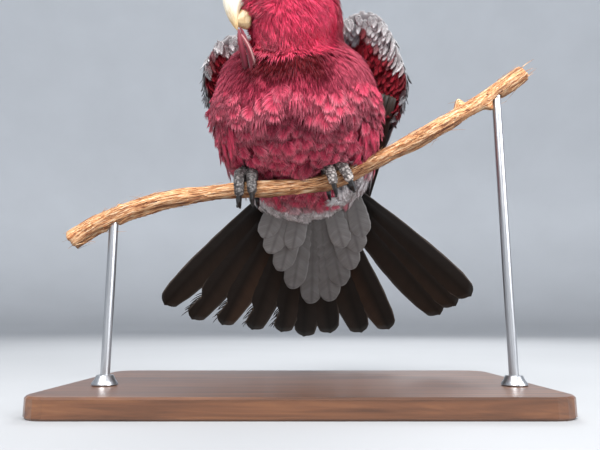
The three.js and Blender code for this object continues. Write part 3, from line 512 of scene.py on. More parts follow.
tone1, tone2, tone3 = waves(3, 16), waves(4, 9), waves(5, 30)
WING = {
    ARML: dict(side=1, edge=A([26, 22, 130], [43, 20, 141], [58, 18, 136], [68, 15, 119], [73.5, 11, 97], [76.5, 9, 78], [72, 17, 58]),
               shade=9, wrist=A(75.5, 10, 76), elbow=A(44, 50, 118), flight=A(-0.2, 0.71, -0.675), inner=A(-0.06, 0.60, -0.80)),
    ARMR: dict(side=-1, edge=A([-26, 22, 116], [-43, 20, 123], [-57, 20, 119], [-66, 18, 108], [-70, 16, 93], [-68.5, 18, 78], [-65, 26, 62]),
               shade=0, wrist=A(-68.5, 17, 88), elbow=A(-44, 54, 112), flight=A(0.235, 0.71, -0.664), inner=A(0.06, 0.60, -0.80)),
}
for W in WING.values():
    e = W["edge"] + A(0, 0, H)
    seg = [e[0]]
    for a, b in zip(e[:-1], e[1:]):
        seg += [a + (b - a) * k / 4 for k in range(1, 5)]
    W["line"] = np.array(seg)
    W["run"] = unit(np.gradient(W["line"], axis=0))
    W["out"] = unit(A(W["side"] * 0.9, 0.39, 0.17))


def edge_distance(p, W):
    """Distance from the wing's leading edge, and the edge's direction there."""
    d = np.linalg.norm(p[:, None] - W["line"][None], axis=2)
    i = d.argmin(1)
    return d[np.arange(len(p)), i], W["run"][i]


def outside(p, n, W):
    """1 on the wing's upper, outer face and 0 on the face towards the body."""
    return smooth(-0.34, -0.22, wide_normal(p) @ unit(A(W["side"], 0.22, 0.1)))


def lie(p, n, label):
    """Way that the feathers point, in the skin's plane."""
    q = head_at(23., 0., -3.)
    s = np.linalg.norm(p - HC, axis=1)
    away = unit(p - q)
    f_head = unit(away * 1.0 - HF * 0.35 + A(0, 0.0, -0.28))
    hl = head_local(p)
    sgn = np.tanh(hl[:, 1] / 6)
    ear = np.stack([hl[:, 0] - 1, (hl[:, 1] - 13 * sgn) * 0.6, hl[:, 2] - 9], -1)
    spray = unit(unit(ear) + A(0, 0, -0.25)) @ HEADM
    cheek = smooth(10, 0, hl[:, 2])[:, None]
    f_head = unit(f_head * (1 - cheek) + spray * cheek)
    f_body = unit(A(0, 0.42, -0.91) + A(1, 0, 0) * (p[:, :1] / 60) * A(0.10, 0, 0))
    f_body = unit(f_body + A(0, 0.35, 0.1) * smooth(60, 10, p[:, 2:] - H) * smooth(-0.2, -0.8, n[:, 2:]))
    w = smooth(30, 50, s)[:, None]
    w = np.where((label == HEAD)[:, None], w * 0.35, np.maximum(w, 0.35 * (label == TRUNK)[:, None] + 0))
    f = f_head * (1 - w) + f_body * w
    f = np.where((label == MANTLE)[:, None], unit(A(0, 0.62, -0.78)), f)
    f = np.where(((label == LEGL) | (label == LEGR))[:, None], unit(A(0, 0.25, -0.97)), f)
    for k, W in WING.items():
        m = label == k
        if m.any():
            d, run = edge_distance(p[m], W)
            back = unit(W["inner"] * 0.5 + W["flight"])
            near = smooth(16, 3, d)[:, None]
            f[m] = unit(back + A(0, 0.1, 0) + near * (0.55 * run - 0.2 * back))
    f = f - n * dot(f, n)[:, None]
    return unit(f)


def cheek_shade_at(p):
    """1 in the hollow under the cheek, where the crimson is darkened as painted shade."""
    z = p[:, 2] - H
    return smooth(42, 60, z) * smooth(94, 82, z) * smooth(38, 16, np.abs(p[:, 0] + 9)) * smooth(-6, -22, p[:, 1])


def marking(p, n, label):
    """Colour of skin and coat at a place, as linear light."""
    z = p[:, 2] - H
    c = np.repeat(C_BREAST[None], len(p), 0)
    t = smooth(70, 30, z)[:, None]
    c = c * (1 - t) + C_BELLY * t
    # painted shade: darker crimson in the hollow under the cheek, where the shade falls
    hollow = cheek_shade_at(p)[:, None]
    c = c * (1 - 0.9 * hollow * A(0.90, 1.1, 1.06))
    # white and grey down round the vent and flanks, and on the rump
    ax = np.abs(p[:, 0] + 1 + 3 * tone2(p))
    zz = z + 3 * tone1(p)
    yy = p[:, 1] + 4 * tone2(p)
    up_ = 9 * smooth(0, 20, p[:, 0]) - 5 * smooth(0, -20, p[:, 0])
    vent = np.maximum(smooth(21, 28, ax) * smooth(10, 2, zz - up_) * smooth(-30, -10, p[:, 1]), smooth(30, 42, yy) * smooth(16, 8, zz))
    vent = np.maximum(vent, smooth(50, 60, yy) * smooth(70, 55, z))
    vent = np.maximum(vent, smooth(31, 39, ax) * smooth(30, 18, zz) * smooth(16, 30, p[:, 1]))[:, None]
    rump = (smooth(0.05, 0.45, n[:, 1] + 0.3 * n[:, 2]) * smooth(50, 66, p[:, 1]))[:, None]
    tr = (label == TRUNK)[:, None]
    c = np.where(tr, c * (1 - vent) + C_VENT * vent, c)
    c = np.where(tr, c * (1 - rump) + C_RUMP * rump, c)
    loc = head_local(p)
    up = smooth(8.0, 14.5, loc[:, 2] + 0.04 * loc[:, 0] - 0.016 * loc[:, 1] ** 2)[:, None]
    nape = smooth(-4, -20, loc[:, 0])[:, None] * smooth(-6, 8, loc[:, 2])[:, None]
    ch = C_HEAD * (1 - nape) + C_NAPE * nape
    ch = ch * (1 - up) + C_CROWN * up
    c = np.where((label == HEAD)[:, None], ch, c)
    c = np.where((label == NECK)[:, None], C_THROAT * (1 - 0.5 * nape) + C_NAPE * 0.5 * nape, c)
    c = np.where((label == MANTLE)[:, None], C_GREY, c)
    leg = srgb(216, 208, 212)
    c = np.where((label == LEGL)[:, None] | (label == LEGR)[:, None], leg, c)
    for k, W in WING.items():
        m = label == k
        if m.any():
            d, _ = edge_distance(p[m], W)
            o = outside(p[m], n[m], W)[:, None]
            zw = p[m][:, 2] - H - (W["wrist"][2])
            wide = 3.6 + 9.5 * smooth(12, 36, zw)
            rim = smooth(wide + 2.5, wide - 2.5, d + 3 * tone2(p[m]))[:, None]
            rim = rim * smooth(-5, 8, zw - W["shade"])[:, None]
            top = C_PALE * rim + C_GREY * (1 - rim)
            low = C_PALE * 0.92 * rim + C_LINING_SHADED * (1 - rim)
            drop = smooth(-8, -18, zw + 2 * tone2(p[m]))[:, None]
            low = low * (1 - drop) + srgb(48, 45, 46) * drop
            dark = (smooth(8, -3, zw - W["shade"] + 2 * tone2(p[m])) * smooth(wide + 3, wide - 1, d))[:, None]
            low = low * (1 - dark) + srgb(56, 53, 54) * dark
            top = top * (1 - 0.7 * dark) + srgb(70, 68, 70) * 0.7 * dark
            c[m] = top * o + low * (1 - o)
    return np.clip(c, 0, 1)


skin_col = marking(sv, sn, slabel)
loc = head_local(sv)
ring = np.zeros(len(sv))
for side in (1, -1):
    d = np.linalg.norm(loc - A(EYE_AT[0], side * EYE_AT[1], EYE_AT[2]), axis=1)
    ring = np.maximum(ring, smooth(7.6, 6.2, d))
sat = smooth(0.15, 0.5, (skin_col.max(1) - skin_col.min(1)) / skin_col.max(1))[:, None]
# painted shade: the skin under the coat is a darker, redder copy of the markings, so gaps between feathers read as deep
# shadow
under = skin_col * (A(0.62, 0.36, 0.46) * sat + 0.42 * (1 - sat))
under = under * (1 - ring[:, None]) + srgb(196, 170, 168) * ring[:, None]
m_skin, t, p_ = material("skin")
col = t.nodes.new("ShaderNodeVertexColor")
col.layer_name = "tint"
tc = t.nodes.new("ShaderNodeTexCoord")
nz = node(t, "ShaderNodeTexNoise", Scale=900.0, Detail=3.0)
link(t, tc.outputs["Object"], nz.inputs["Vector"])
link(t, mix(t, "MULTIPLY", 1.0, col.outputs["Color"], ramp(t, nz.outputs["Fac"], [(0.3, (0.75,) * 3), (0.7, (1, 1, 1))])), p_.inputs["Base Color"])
p_.inputs["Roughness"].default_value = 0.6
bp = node(t, "ShaderNodeBump", Strength=0.4, Distance=0.0003)
link(t, nz.outputs["Fac"], bp.inputs["Height"])
link(t, bp.outputs["Normal"], p_.inputs["Normal"])
skin_uv = SKIN_UV
build("skin", sv, st, m_skin, under, skin_uv.reshape(-1, 2), replaces=[*FLESH])


# -------------------------------------------------------------- feather shapes
def lock(path, widths, height, ridge):
    """One barb lock: a closed three-sided taper along path (n,2 in u, v-mm); returns vertices (u, v, w) and triangles."""
    n = len(path)
    d = np.gradient(path, axis=0)
    s = np.stack([-d[:, 1], d[:, 0]], -1)
    s = s / np.maximum(np.linalg.norm(s, axis=1, keepdims=True), 1e-9)
    v = []
    for i in range(n - 1):
        a, b = path[i] + s[i] * widths[i], path[i] - s[i] * widths[i]
        v += [(*a, height[i]), (*path[i], height[i] + ridge), (*b, height[i])]
    v.append((*path[-1], height[-1]))
    f = [(0, 2, 1)]
    for i in range(n - 2):
        o, q = 3 * i, 3 * (i + 1)
        for k in range(3):
            k2 = (k + 1) % 3
            f += [(o + k, o + k2, q + k2), (o + k, q + k2, q + k)]
    o, tip = 3 * (n - 2), 3 * (n - 1)
    f += [(o, o + 1, tip), (o + 1, o + 2, tip), (o + 2, o, tip)]
    return np.array(v), np.array(f)


def contour(seed, length, width, locks, ragged=0.1, spread=105, core=0.62, gap=0.0, fine=1.0, stations=4, blunt=1.0, mottle=0.26, uc=0.58, high=0.5):
    """A small body feather lying along +u: a thin vane with a ridge, and locks of barbs out to its rounded end.
    Vertices are (u mm, v mm, w mm); shade tells each lock's brightness and edge how near its rim."""
    r = np.random.default_rng(seed)
    V, F, S, E = [], [], [], []
    count = 0
    hw = width / 2
    if core:
        us = np.array([0.04, 0.3, 0.55, 0.78, 0.93]) * length
        ws = np.array([0.12, 0.55, 0.95, 0.85, 0.35]) * hw * core
        v = []
        for u, w in zip(us, ws):
            v += [(u, w, 0), (u, 0, 0.32), (u, -w, 0), (u, 0, -0.12)]
        v = np.array(v)
        f = [(0, 3, 2), (0, 2, 1)]
        for i in range(len(us) - 1):
            o, q = 4 * i, 4 * (i + 1)
            for k in range(4):
                k2 = (k + 1) % 4
                f += [(o + k, o + k2, q + k2), (o + k, q + k2, q + k)]
        o = 4 * (len(us) - 1)
        f += [(o, o + 1, o + 2), (o, o + 2, o + 3)]
        V.append(v)
        F.append(np.array(f))
        S.append(np.full(len(v), 0.9))
        E.append(v[:, 0] / length * 0.7)
        count += len(v)
    uc = length * uc
    for j in range(locks):
        q = -1 + 2 * (j + 0.5) / locks + r.normal() * 0.35 / locks
        ph = math.radians(spread * q)
        reach = 1 + r.normal() * ragged - (gap if r.random() < 0.18 else 0)
        cs, si = math.cos(ph), math.sin(ph)
        end = np.array([uc + (length - uc) * math.copysign(abs(cs) ** blunt, cs), hw * math.copysign(abs(si) ** (0.5 + 0.5 * blunt), si)])
        start = np.array([max(0.05 * length, end[0] - length * (0.26 + 0.18 * abs(math.sin(ph)))), 0.12 * end[1]])
        end = start + (end - start) * reach
        bend = np.array([-abs(math.sin(ph)) * 0.06 * length, 0.10 * end[1]])
        ss = np.linspace(0, 1, stations)
        path = start + (end - start) * ss[:, None] + bend * np.sin(np.pi * ss)[:, None]
        base = fine * (hw * 2.6 / locks + 0.12)
        wd = base * np.interp(ss, [0, 0.3, 0.7, 1], [0.45, 1.0, 0.75, 0])
        h0 = r.uniform(0, high)
        ht = h0 * ss + 0.12 + (0.25 - 0.35 * r.random()) * ss ** 2
        v, f = lock(path, wd, ht, 0.16 + 0.10 * r.random())
        V.append(v)
        F.append(f + count)
        S.append(np.full(len(v), 0.95 - mottle / 2 + mottle * r.random()))
        E.append(np.concatenate([np.repeat(ss[:-1], 3), [1.0]]) * 0.65 + 0.35 * (path[-1, 0] / length))
        count += len(v)
    return dict(v=np.concatenate(V), f=np.concatenate(F), shade=np.concatenate(S), edge=np.concatenate(E), length=length, width=width)


def tuft(seed, length, width, locks, stations=4, mottle=0.26, fine=1.0, ridge=0.10, high=0.35):
    """A small soft tuft: locks fanning a little from one root."""
    r = np.random.default_rng(seed)
    V, F, S, E = [], [], [], []
    count = 0
    for j in range(locks):
        q = -1 + 2 * (j + 0.5) / locks + r.normal() * 0.15
        reach = 1 + r.normal() * 0.13 - 0.16 * abs(q)
        ss = np.linspace(0, 1, stations)
        end = np.array([length * reach, width / 2 * q])
        path = np.stack([end[0] * ss, end[1] * (0.25 * ss + 0.75 * ss ** 0.8) + 0.25 * width * r.normal() * ss ** 2 * 0.5], -1)
        wd = fine * (width * 0.46 / locks + 0.07) * np.interp(ss, [0, 0.35, 0.7, 1], [0.7, 1.0, 0.8, 0])
        ht = (0.12 + high * r.random()) * ss
        v, f = lock(path, wd, ht, ridge)
        V.append(v)
        F.append(f + count)
        S.append(np.full(len(v), 0.97 - mottle / 2 + mottle * r.random()))
        E.append(np.concatenate([np.repeat(ss[:-1], 3), [1.0]]))
        count += len(v)
    return dict(v=np.concatenate(V), f=np.concatenate(F), shade=np.concatenate(S), edge=np.concatenate(E), length=length, width=width)


# ------------------------------------------------------------ scattering roots
def candidates(count, seed, where):
    """Random places on the skin, evenly by area, on the triangles that where allows."""
    r = np.random.default_rng(seed)
    a, b, c = sv[st[:, 0]], sv[st[:, 1]], sv[st[:, 2]]
    area = np.linalg.norm(np.cross(b - a, c - a), axis=1) / 2 * where
    t = r.choice(len(st), count, p=area / area.sum())
    u, v = r.random(count), r.random(count)
    flip = u + v > 1
    u[flip], v[flip] = 1 - u[flip], 1 - v[flip]
    w = 1 - u - v
    bary = np.stack([w, u, v], -1)
    f = st[t]
    p = a[t] * w[:, None] + b[t] * u[:, None] + c[t] * v[:, None]
    n = unit(sn[f[:, 0]] * w[:, None] + sn[f[:, 1]] * u[:, None] + sn[f[:, 2]] * v[:, None])
    return p, n, t, bary, area.sum()


def thin_out(p, radius):
    """Indices of places no closer to each other than their radius."""
    kd = KDTree(len(p))
    for i, q in enumerate(p.tolist()):
        kd.insert(q, i)
    kd.balance()
    alive = np.ones(len(p), bool)
    keep = []
    for i in range(len(p)):
        if alive[i]:
            keep.append(i)
            for _, j, _ in kd.find_range(p[i].tolist(), float(radius[i])):
                alive[j] = False
    return np.array(keep)


def roots(spacing, seed, where, factor=7):
    """Evenly spread places: spacing(p, n, label) in mm."""
    p, n, t, bary, area = candidates(2000, seed, where)
    s = spacing(p, n, slabel[st[t]].max(1))
    need = int(area * factor * np.mean(1 / s ** 2)) + 50
    p, n, t, bary, _ = candidates(need, seed + 1, where)
    label = slabel[st[t]].max(1)
    k = thin_out(p, spacing(p, n, label))
    uv = (SKIN_UV[t[k]] * bary[k][:, :, None]).sum(1)
    return p[k], n[k], label[k], uv


STEPS = 6


def lines(p, n, label, length, stiff=0.45, turn=None, free=0.0, aim=None):
    """Each feather's course over the skin: places, ways and normals at STEPS + 1 stations."""
    P, N, T = [p], [n], []
    d = lie(p, n, label) if aim is None else unit(aim - n * dot(aim, n)[:, None] * 0.8)
    if turn is not None:
        d = unit(d + np.cross(n, d) * turn[:, None])
    T.append(d)
    q = p
    for _ in range(STEPS):
        step = (length / STEPS)[:, None]
        q2, n2, _, _ = on_skin(q + d * step)
        n2 = unit(n2 * (1 - 0.8 * free) + (0.8 + free) * N[-1])
        want = lie(q2, n2, label) if aim is None else aim
        if turn is not None:
            want = unit(want + np.cross(n2, want) * turn[:, None])
        go = unit(unit(q2 - q) * (1 - free) + d * free)
        d = unit(stiff * go + (1 - stiff) * want)
        d = unit(d - n2 * dot(d, n2)[:, None] * (1 - free))
        q = q + go * step
        P.append(q)
        N.append(n2)
        T.append(d)
    return np.stack(P, 1), unit(np.stack(T, 1)), unit(np.stack(N, 1))


def dress(name, shapes, pick, p, n, label, uv, length, width, lift, curl, colour, tip, mat, droop=0.5, low=0.35, rise=0.8, base_dark=0.62, turn=None, stiff=0.45, limit=195000, stands_for=(), tip_from=0.72, free=0.0, aim=None):
    """Lays feathers on the skin and joins them into pieces below limit triangles."""
    P, T, N = lines(p, n, label, length, stiff, turn, free, aim)
    B = unit(np.cross(N, T))
    out = []
    for k, shape in enumerate(shapes):
        m = np.where(pick == k)[0]
        if not len(m):
            continue
        v = shape["v"]
        u = v[:, 0] / shape["length"]
        f = np.clip(u, 0, 1.2) * STEPS
        i0 = np.clip(f.astype(int), 0, STEPS - 1)
        fr = (f - i0)[None, :, None]
        at = lambda X: X[m][:, i0] * (1 - fr) + X[m][:, i0 + 1] * fr
        side = v[:, 1][None] * (width[m] / shape["width"])[:, None]
        uu = u[None]
        h = low + (lift[m][:, None] - low) * np.clip(uu, 0, 1.1) ** rise + curl[m][:, None] * np.clip((uu - 0.45) / 0.55, 0, 1.2) ** 2
        h = h + v[:, 2][None] - droop * (side / np.maximum(width[m][:, None] / 2, 1)) ** 2
        pos = at(P) + at(B) * side[..., None] + at(N) * h[..., None]
        e = shape["edge"][None, :, None]
        # darker towards each feather's root: partly the feather's own darker base, partly painted shade where the
        # feathers overlap
        c = colour[m][:, None, :] * (base_dark + (1 - base_dark) * smooth(0.15, 0.75, e))
        tt = smooth(tip_from, 1.0, e) * tip[m][:, None, None]
        c = c * (1 - tt) + extra_tip(colour[m])[:, None, :] * tt
        c = c * shape["shade"][None, :, None]
        w = np.stack([np.broadcast_to(v[:, 1] / shape["width"] * 0.003, (len(m), len(v))), np.broadcast_to((u - 0.5) * 0.003, (len(m), len(v)))], -1) + uv[m][:, None]
        out.append((pos, shape["f"], c, w))
    pieces, now, tris = [], [], 0
    for pos, f, c, w in out:
        per = len(f)
        i = 0
        while i < len(pos):
            room = int((limit - tris) / per)
            if room <= 0:
                pieces.append(now)
                now, tris = [], 0
                continue
            j = min(len(pos), i + room)
            now.append((pos[i:j], f, c[i:j], w[i:j]))
            tris += per * (j - i)
            i = j
    if now:
        pieces.append(now)
    total = 0
    for k, group in enumerate(pieces):
        V, F, C, U, o = [], [], [], [], 0
        for pos, f, c, w in group:
            nf, nv = pos.shape[:2]
            F.append((f[None] + (np.arange(nf) * nv)[:, None, None] + o).reshape(-1, 3))
            V.append(pos.reshape(-1, 3))
            C.append(c.reshape(-1, 3))
            U.append(w.reshape(-1, 2))
            o += nf * nv
        F = np.concatenate(F)
        total += len(F)
        build(f"{name}_{k + 1}" if len(pieces) > 1 else name, np.concatenate(V), F, mat, np.concatenate(C), np.concatenate(U), replaces=stands_for)
    print("COAT", name, len(p), "feathers", total, "triangles", len(pieces), "pieces", flush=True)
    return total


def extra_tip(c):
    """The paler rim of a feather of that colour."""
    m = c.max(-1, keepdims=True)
    w = smooth(0.1, 0.45, (m - c.min(-1, keepdims=True)) / np.maximum(m, 1e-6))
    return np.clip(w * (c * 0.35 + 0.65 * m * np.array([1.04, 0.52, 0.58])) + (1 - w) * c * 1.35, 0, 1)


tri_label = slabel[st].max(1)
ctr = sv[st].mean(1)
tri_n = TRI_N


def tip_colour(p, n, l, length):
    """Marking at the place that a feather's outer half covers."""
    return marking(p + lie(p, n, l) * (0.6 * np.asarray(length))[:, None], n, l)


def rows(p):
    """0..1 saw down the belly, one tooth to each ruffled row of feathers."""
    z = p[:, 2] - H
    return np.mod((z + 2.6 * tone2(p * A(1, 1, 0.3)) + 3.5 * tone3(p * A(1, 1, 0.2))) / 8.6, 1.0)


def shelf(p):
    """Height over the shelf where the puffed breast overhangs the belly: two lobes with a cleft between."""
    x, z = p[:, 0], p[:, 2] - H
    line = 37 - 13 * np.exp(-((x + 24) / 13) ** 2) - 13 * np.exp(-((x - 12) / 15) ** 2) + 9 * smooth(24, 50, x) + 5 * smooth(-34, -52, x)
    return z - line


def above_shelf(p, n):
    """Height over the line where the breast's fine coat gives way to the belly's broad feathers."""
    behind = smooth(0.0, 0.4, n[:, 1])
    return shelf(p) * (1 - behind) + (p[:, 2] - H - 44) * behind


# throat, breast: fine hair-like tufts that hide each other's edges
p, n, l, uv = roots(lambda p, n, l: np.where(l == NECK, 2.1, 2.35) + 0.3 * smooth(60, 40, p[:, 2] - H), 21, np.isin(tri_label, [NECK, TRUNK]) * (ctr[:, 2] - H > 26.0))
z = p[:, 2] - H
keep = rng.random(len(p)) < smooth(9, 18, above_shelf(p, n) + 2.5 * tone1(p))
p, n, l, uv, z = p[keep], n[keep], l[keep], uv[keep], z[keep]
size = 1 + 0.12 * rng.normal(size=len(p)).clip(-2, 2)
fore = smooth(0.1, -0.3, n[:, 1]) * (l == TRUNK)
near_shelf = np.exp(-((shelf(p) - 10) / 8) ** 2) * fore
length = np.where(l == NECK, 12.5, 15.5) * size * (1 - 0.12 * near_shelf)
width = length * (0.36 + 0.14 * near_shelf)
depth = coat_depth(p, l)
over = np.exp(-((shelf(p) - 17) / 7) ** 2) * fore
lift = depth * 0.86 + 0.35 * tone1(p) + 0.14 * rng.normal(size=len(p)) + 2.6 * over + 1.1 * tone2(p + 60) * near_shelf
curl = 0.16 * rng.normal(size=len(p)) + 0.7 * over
turn_ = 0.18 * tone3(p) + 0.06 * rng.normal(size=len(p))
colour = tip_colour(p, n, l, length) * (1 + 0.11 * tone1(p + 9)[:, None] + 0.04 * rng.normal(size=(len(p), 1)))
# paler tips are held back in the painted shade under the cheek
tip = (0.40 + 0.12 * rng.random(len(p)) + 0.3 * over) * (1 - cheek_shade_at(p))
shapes = [tuft(200 + k, 16, 5.8, 12, mottle=0.10, fine=1.3, ridge=0.05, high=0.25) for k in range(8)]
TOTAL = dress("coat_breast", shapes, rng.integers(0, 8, len(p)), p, n, l, uv, length, width, lift, curl, np.clip(colour, 0, 1), tip, M_PINK, turn=turn_, droop=0.25, low=0.25, base_dark=0.95, tip_from=0.3)

# belly, flanks and legs: an under layer of fine tufts, and broad ruffled feathers over it
p, n, l, uv = roots(lambda p, n, l: np.where(l == TRUNK, 3.7, 3.2), 31, np.isin(tri_label, [TRUNK, LEGL, LEGR]) * (ctr[:, 2] - H < 70.0))
z = p[:, 2] - H
keep = rng.random(len(p)) < smooth(28, 18, above_shelf(p, n) + 2 * tone1(p))
p, n, l, uv, z = p[keep], n[keep], l[keep], uv[keep], z[keep]
size = 1 + 0.12 * rng.normal(size=len(p)).clip(-2, 2)
length = np.where(l == TRUNK, 14.0, 11.0) * size
width = length * 0.42
fore = smooth(0.2, -0.3, n[:, 1]) * smooth(-4, 4, z)
lift = coat_depth(p, l) * (0.78 - 0.32 * fore) + 0.22 * rng.normal(size=len(p)) - 1.0 * np.exp(-((shelf(p) - 4) / 6) ** 2) * fore
curl = 0.4 * rng.normal(size=len(p))
turn_ = 0.14 * tone3(p) + 0.12 * rng.normal(size=len(p))
# painted shade: the under layer is darkened on the front, where the broad feathers over it shade it
colour = tip_colour(p, n, l, length) * (1 + 0.08 * tone1(p + 9)[:, None] + 0.09 * rng.normal(size=(len(p), 1))) * (1 - 0.35 * fore[:, None])
shapes = [tuft(240 + k, 14, 5.9, 8) for k in range(8)]
TOTAL += dress("coat_belly_down", shapes, rng.integers(0, 8, len(p)), p, n, l, uv, length, width, lift, curl, np.clip(colour, 0, 1), np.full(len(p), 0.2), M_PINK, turn=turn_, droop=0.3, base_dark=0.7)

p, n, l, uv = roots(lambda p, n, l: np.where(n[:, 1] > 0.35, 6.0, 4.7), 33, (tri_label == TRUNK) * (ctr[:, 2] - H < 70.0))
z = p[:, 2] - H
keep = rng.random(len(p)) < smooth(32, 20, above_shelf(p, n) + 4 * tone1(p))
p, n, l, uv, z = p[keep], n[keep], l[keep], uv[keep], z[keep]
fore = smooth(0.2, -0.3, n[:, 1])
back = n[:, 1] > 0.35
size = 1 + 0.15 * rng.normal(size=len(p)).clip(-2, 2)
flank = smooth(0.5, 0.85, np.abs(n[:, 0])) * smooth(40, 20, z)
length = 13.2 * size * (1 + 0.45 * flank)
width = length * (0.86 - 0.34 * flank)
under_ = np.exp(-((shelf(p) - 3) / 5) ** 2) * fore
over = np.exp(-((shelf(p) - 16) / 7) ** 2) * fore
cleft = np.exp(-((p[:, 0] + 3) / 6) ** 2) * np.exp(-((z - 40) / 9) ** 2) * fore
length, width = length * (1 + 0.18 * over), width * (1 + 0.34 * over)
saw = rows(p)
ruffled = fore * smooth(62, 50, z) * smooth(-12, -2, z)
lift = coat_depth(p, l) * 0.92 + 0.5 * tone2(p) + 0.35 * rng.normal(size=len(p)) + ruffled * (2.6 * saw - 0.8) - 1.4 * under_ - 1.4 * saw * over + 3.0 * over + 1.2 * tone1(p + 70) * over - 3.6 * cleft
curl = 0.35 * rng.normal(size=len(p)) + ruffled * (0.3 + 0.6 * tone2(p + 40) + 0.55 * rng.normal(size=len(p)))
curl = np.where(back, 0.2 * curl, curl * (1 - 0.6 * over))
turn_ = 0.14 * tone3(p) + (0.08 + 0.24 * ruffled * (1 - 0.6 * over)) * rng.normal(size=len(p))
# painted shadow: darker in a band under the shelf of the breast and in the cleft between its lobes, where the pale tips
# are also held back
colour = tip_colour(p, n, l, length) * (1 + 0.10 * tone1(p + 9)[:, None] + 0.13 * rng.normal(size=(len(p), 1))) * (1 - 0.4 * (np.exp(-((shelf(p) - 6) / 4.5) ** 2) * fore)[:, None]) * (1 - 0.45 * cleft[:, None])
tip = np.where(ruffled + flank > 0.3, 0.50 + 0.40 * rng.random(len(p)), 0.3) * (1 - 0.8 * cleft)
shapes = [contour(100 + k, 13, 11, 27, ragged=0.10, gap=0.20, core=0.30, fine=0.62, spread=86, stations=4, blunt=0.62, mottle=0.46, uc=0.62, high=0.8) for k in range(10)]
TOTAL += dress("coat_belly", shapes, rng.integers(0, 10, len(p)), p, n, l, uv, length, width, lift, curl, np.clip(colour, 0, 1), tip, M_PINK, turn=turn_, droop=0.7, rise=0.6, base_dark=0.42, tip_from=0.42)

# soft long down that hangs from the vent over the roots of the tail's coverts
p, n, l, uv = roots(lambda p, n, l: np.full(len(p), 5.2), 36, (tri_label == TRUNK) * (ctr[:, 2] - H < 24.0) * (ctr[:, 1] > 14) * (TRI_N[:, 2] < 0.15))
r = np.random.default_rng(37)
keep = marking(p, n, l)[:, 1] > 0.30
p, n, l, uv = p[keep], n[keep], l[keep], uv[keep]
length = 22 + 7 * r.random(len(p)) + 5 * smooth(30, 50, p[:, 1])
width = 9.5 + 2.5 * r.random(len(p))
toward = unit(A(0, 0.50, -0.86) + A(0.006, 0, 0) * p[:, :1])
colour = np.clip(srgb(226, 222, 223) * (1 + 0.07 * r.normal(size=(len(p), 1))), 0, 1)
shapes = [contour(140 + k, 24, 11, 25, ragged=0.13, gap=0.3, core=0.25, fine=0.6, spread=78, blunt=0.8, mottle=0.3, high=0.8) for k in range(5)]
TOTAL += dress("coat_vent", shapes, r.integers(0, 5, len(p)), p, n, l, uv, length, width, 4.0 + 1.0 * r.random(len(p)), 0.3 * r.normal(size=len(p)), colour, np.full(len(p), 0.3), M_GREY,
               turn=0.16 * r.normal(size=len(p)), droop=0.6, stiff=0.7, free=0.55, aim=toward, base_dark=0.7)

# a few loose plumes hanging free of the flanks
p, n, l, uv = roots(lambda p, n, l: np.full(len(p), 7.0), 41, (tri_label == TRUNK) * (np.abs(TRI_N[:, 0]) > 0.72) * (np.abs(ctr[:, 2] - H - 24) < 20) * (ctr[:, 1] < 26))
r = np.random.default_rng(42)
length = 25 + 7 * r.random(len(p))
width = 6.0 + 1.5 * r.random(len(p))
colour = np.clip(tip_colour(p, n, l, length) * (1.0 + 0.1 * r.normal(size=(len(p), 1))), 0, 1)
shapes = [contour(160 + k, 26, 7, 21, ragged=0.18, gap=0.3, core=0.4, fine=0.8, spread=80) for k in range(4)]
TOTAL += dress("coat_plumes", shapes, r.integers(0, 4, len(p)), p, n, l, uv, length, width, 5.6 + 1.2 * r.random(len(p)), 0.8 + 1.6 * r.random(len(p)), colour, np.full(len(p), 0.7), M_PINK,
               turn=0.18 * r.normal(size=len(p)), droop=0.5, stiff=0.75)


# head: fine tufts, smallest round the bill and the eyes, long and loose on the cheek
def clear_face(p):
    loc = head_local(p)
    ok = np.ones(len(p), bool)
    for side in (1, -1):
        ok &= np.linalg.norm(loc - A(EYE_AT[0], side * EYE_AT[1], EYE_AT[2]), axis=1) > 6.1
    return ok & ~((loc[:, 0] > 20.5) & (np.abs(loc[:, 1]) < 6.5) & (loc[:, 2] > -16) & (loc[:, 2] < 10))


def head_spacing(p, n, label):
    face = np.linalg.norm(p - head_at(22., 0., 0.), axis=1)
    return 1.3 + 0.6 * smooth(8, 30, face)


p, n, l, uv = roots(head_spacing, 51, (tri_label == HEAD).astype(float))
ok = clear_face(p)
p, n, l, uv = p[ok], n[ok], l[ok], uv[ok]
loc = head_local(p)
face = np.linalg.norm(p - head_at(22., 0., 0.), axis=1)
cheek = smooth(6, -8, loc[:, 2]) * smooth(-26, -8, loc[:, 0])
hem = np.exp(-((p[:, 2] - H - 88 + 3 * tone1(p) + 0.35 * (p[:, 0] + 20)) / 8) ** 2) * smooth(0.3, -0.2, n[:, 1]) * smooth(0, -16, p[:, 0])
beard = smooth(4, 12, loc[:, 0]) * smooth(7, 0, loc[:, 2])
size = 1 + 0.14 * rng.normal(size=len(p)).clip(-2, 2)
length = (3.6 + 4.6 * smooth(6, 32, face) + 4.0 * cheek * smooth(8, 22, face) + 3.2 * hem + 2.5 * beard) * size
width = length * 0.38
depth = coat_depth(p, l)
lift = depth * 0.85 + 0.14 * rng.normal(size=len(p)) + 0.5 * tone2(p) + 1.0 * cheek + 1.5 * hem + 1.2 * beard
curl = 0.25 * rng.normal(size=len(p)) + 0.3 * hem
turn_ = 0.09 * rng.normal(size=len(p)) + 0.20 * tone1(p)
colour = np.clip(marking(p, n, l) * (1 + 0.16 * tone1(p)[:, None] + 0.05 * rng.normal(size=(len(p), 1))), 0, 1)
tip = 0.04 + 0.18 * rng.random(len(p)) + 0.5 * hem + 0.2 * cheek * rng.random(len(p))
shapes = [tuft(300 + k, 9, 3.7, 8, mottle=0.10, fine=1.0, ridge=0.09, high=0.5) for k in range(8)]
TOTAL += dress("coat_head", shapes, rng.integers(0, 8, len(p)), p, n, l, uv, length, width, lift, curl, colour, tip, M_HEAD, turn=turn_, droop=0.15, low=0.15, base_dark=0.88, tip_from=0.55)

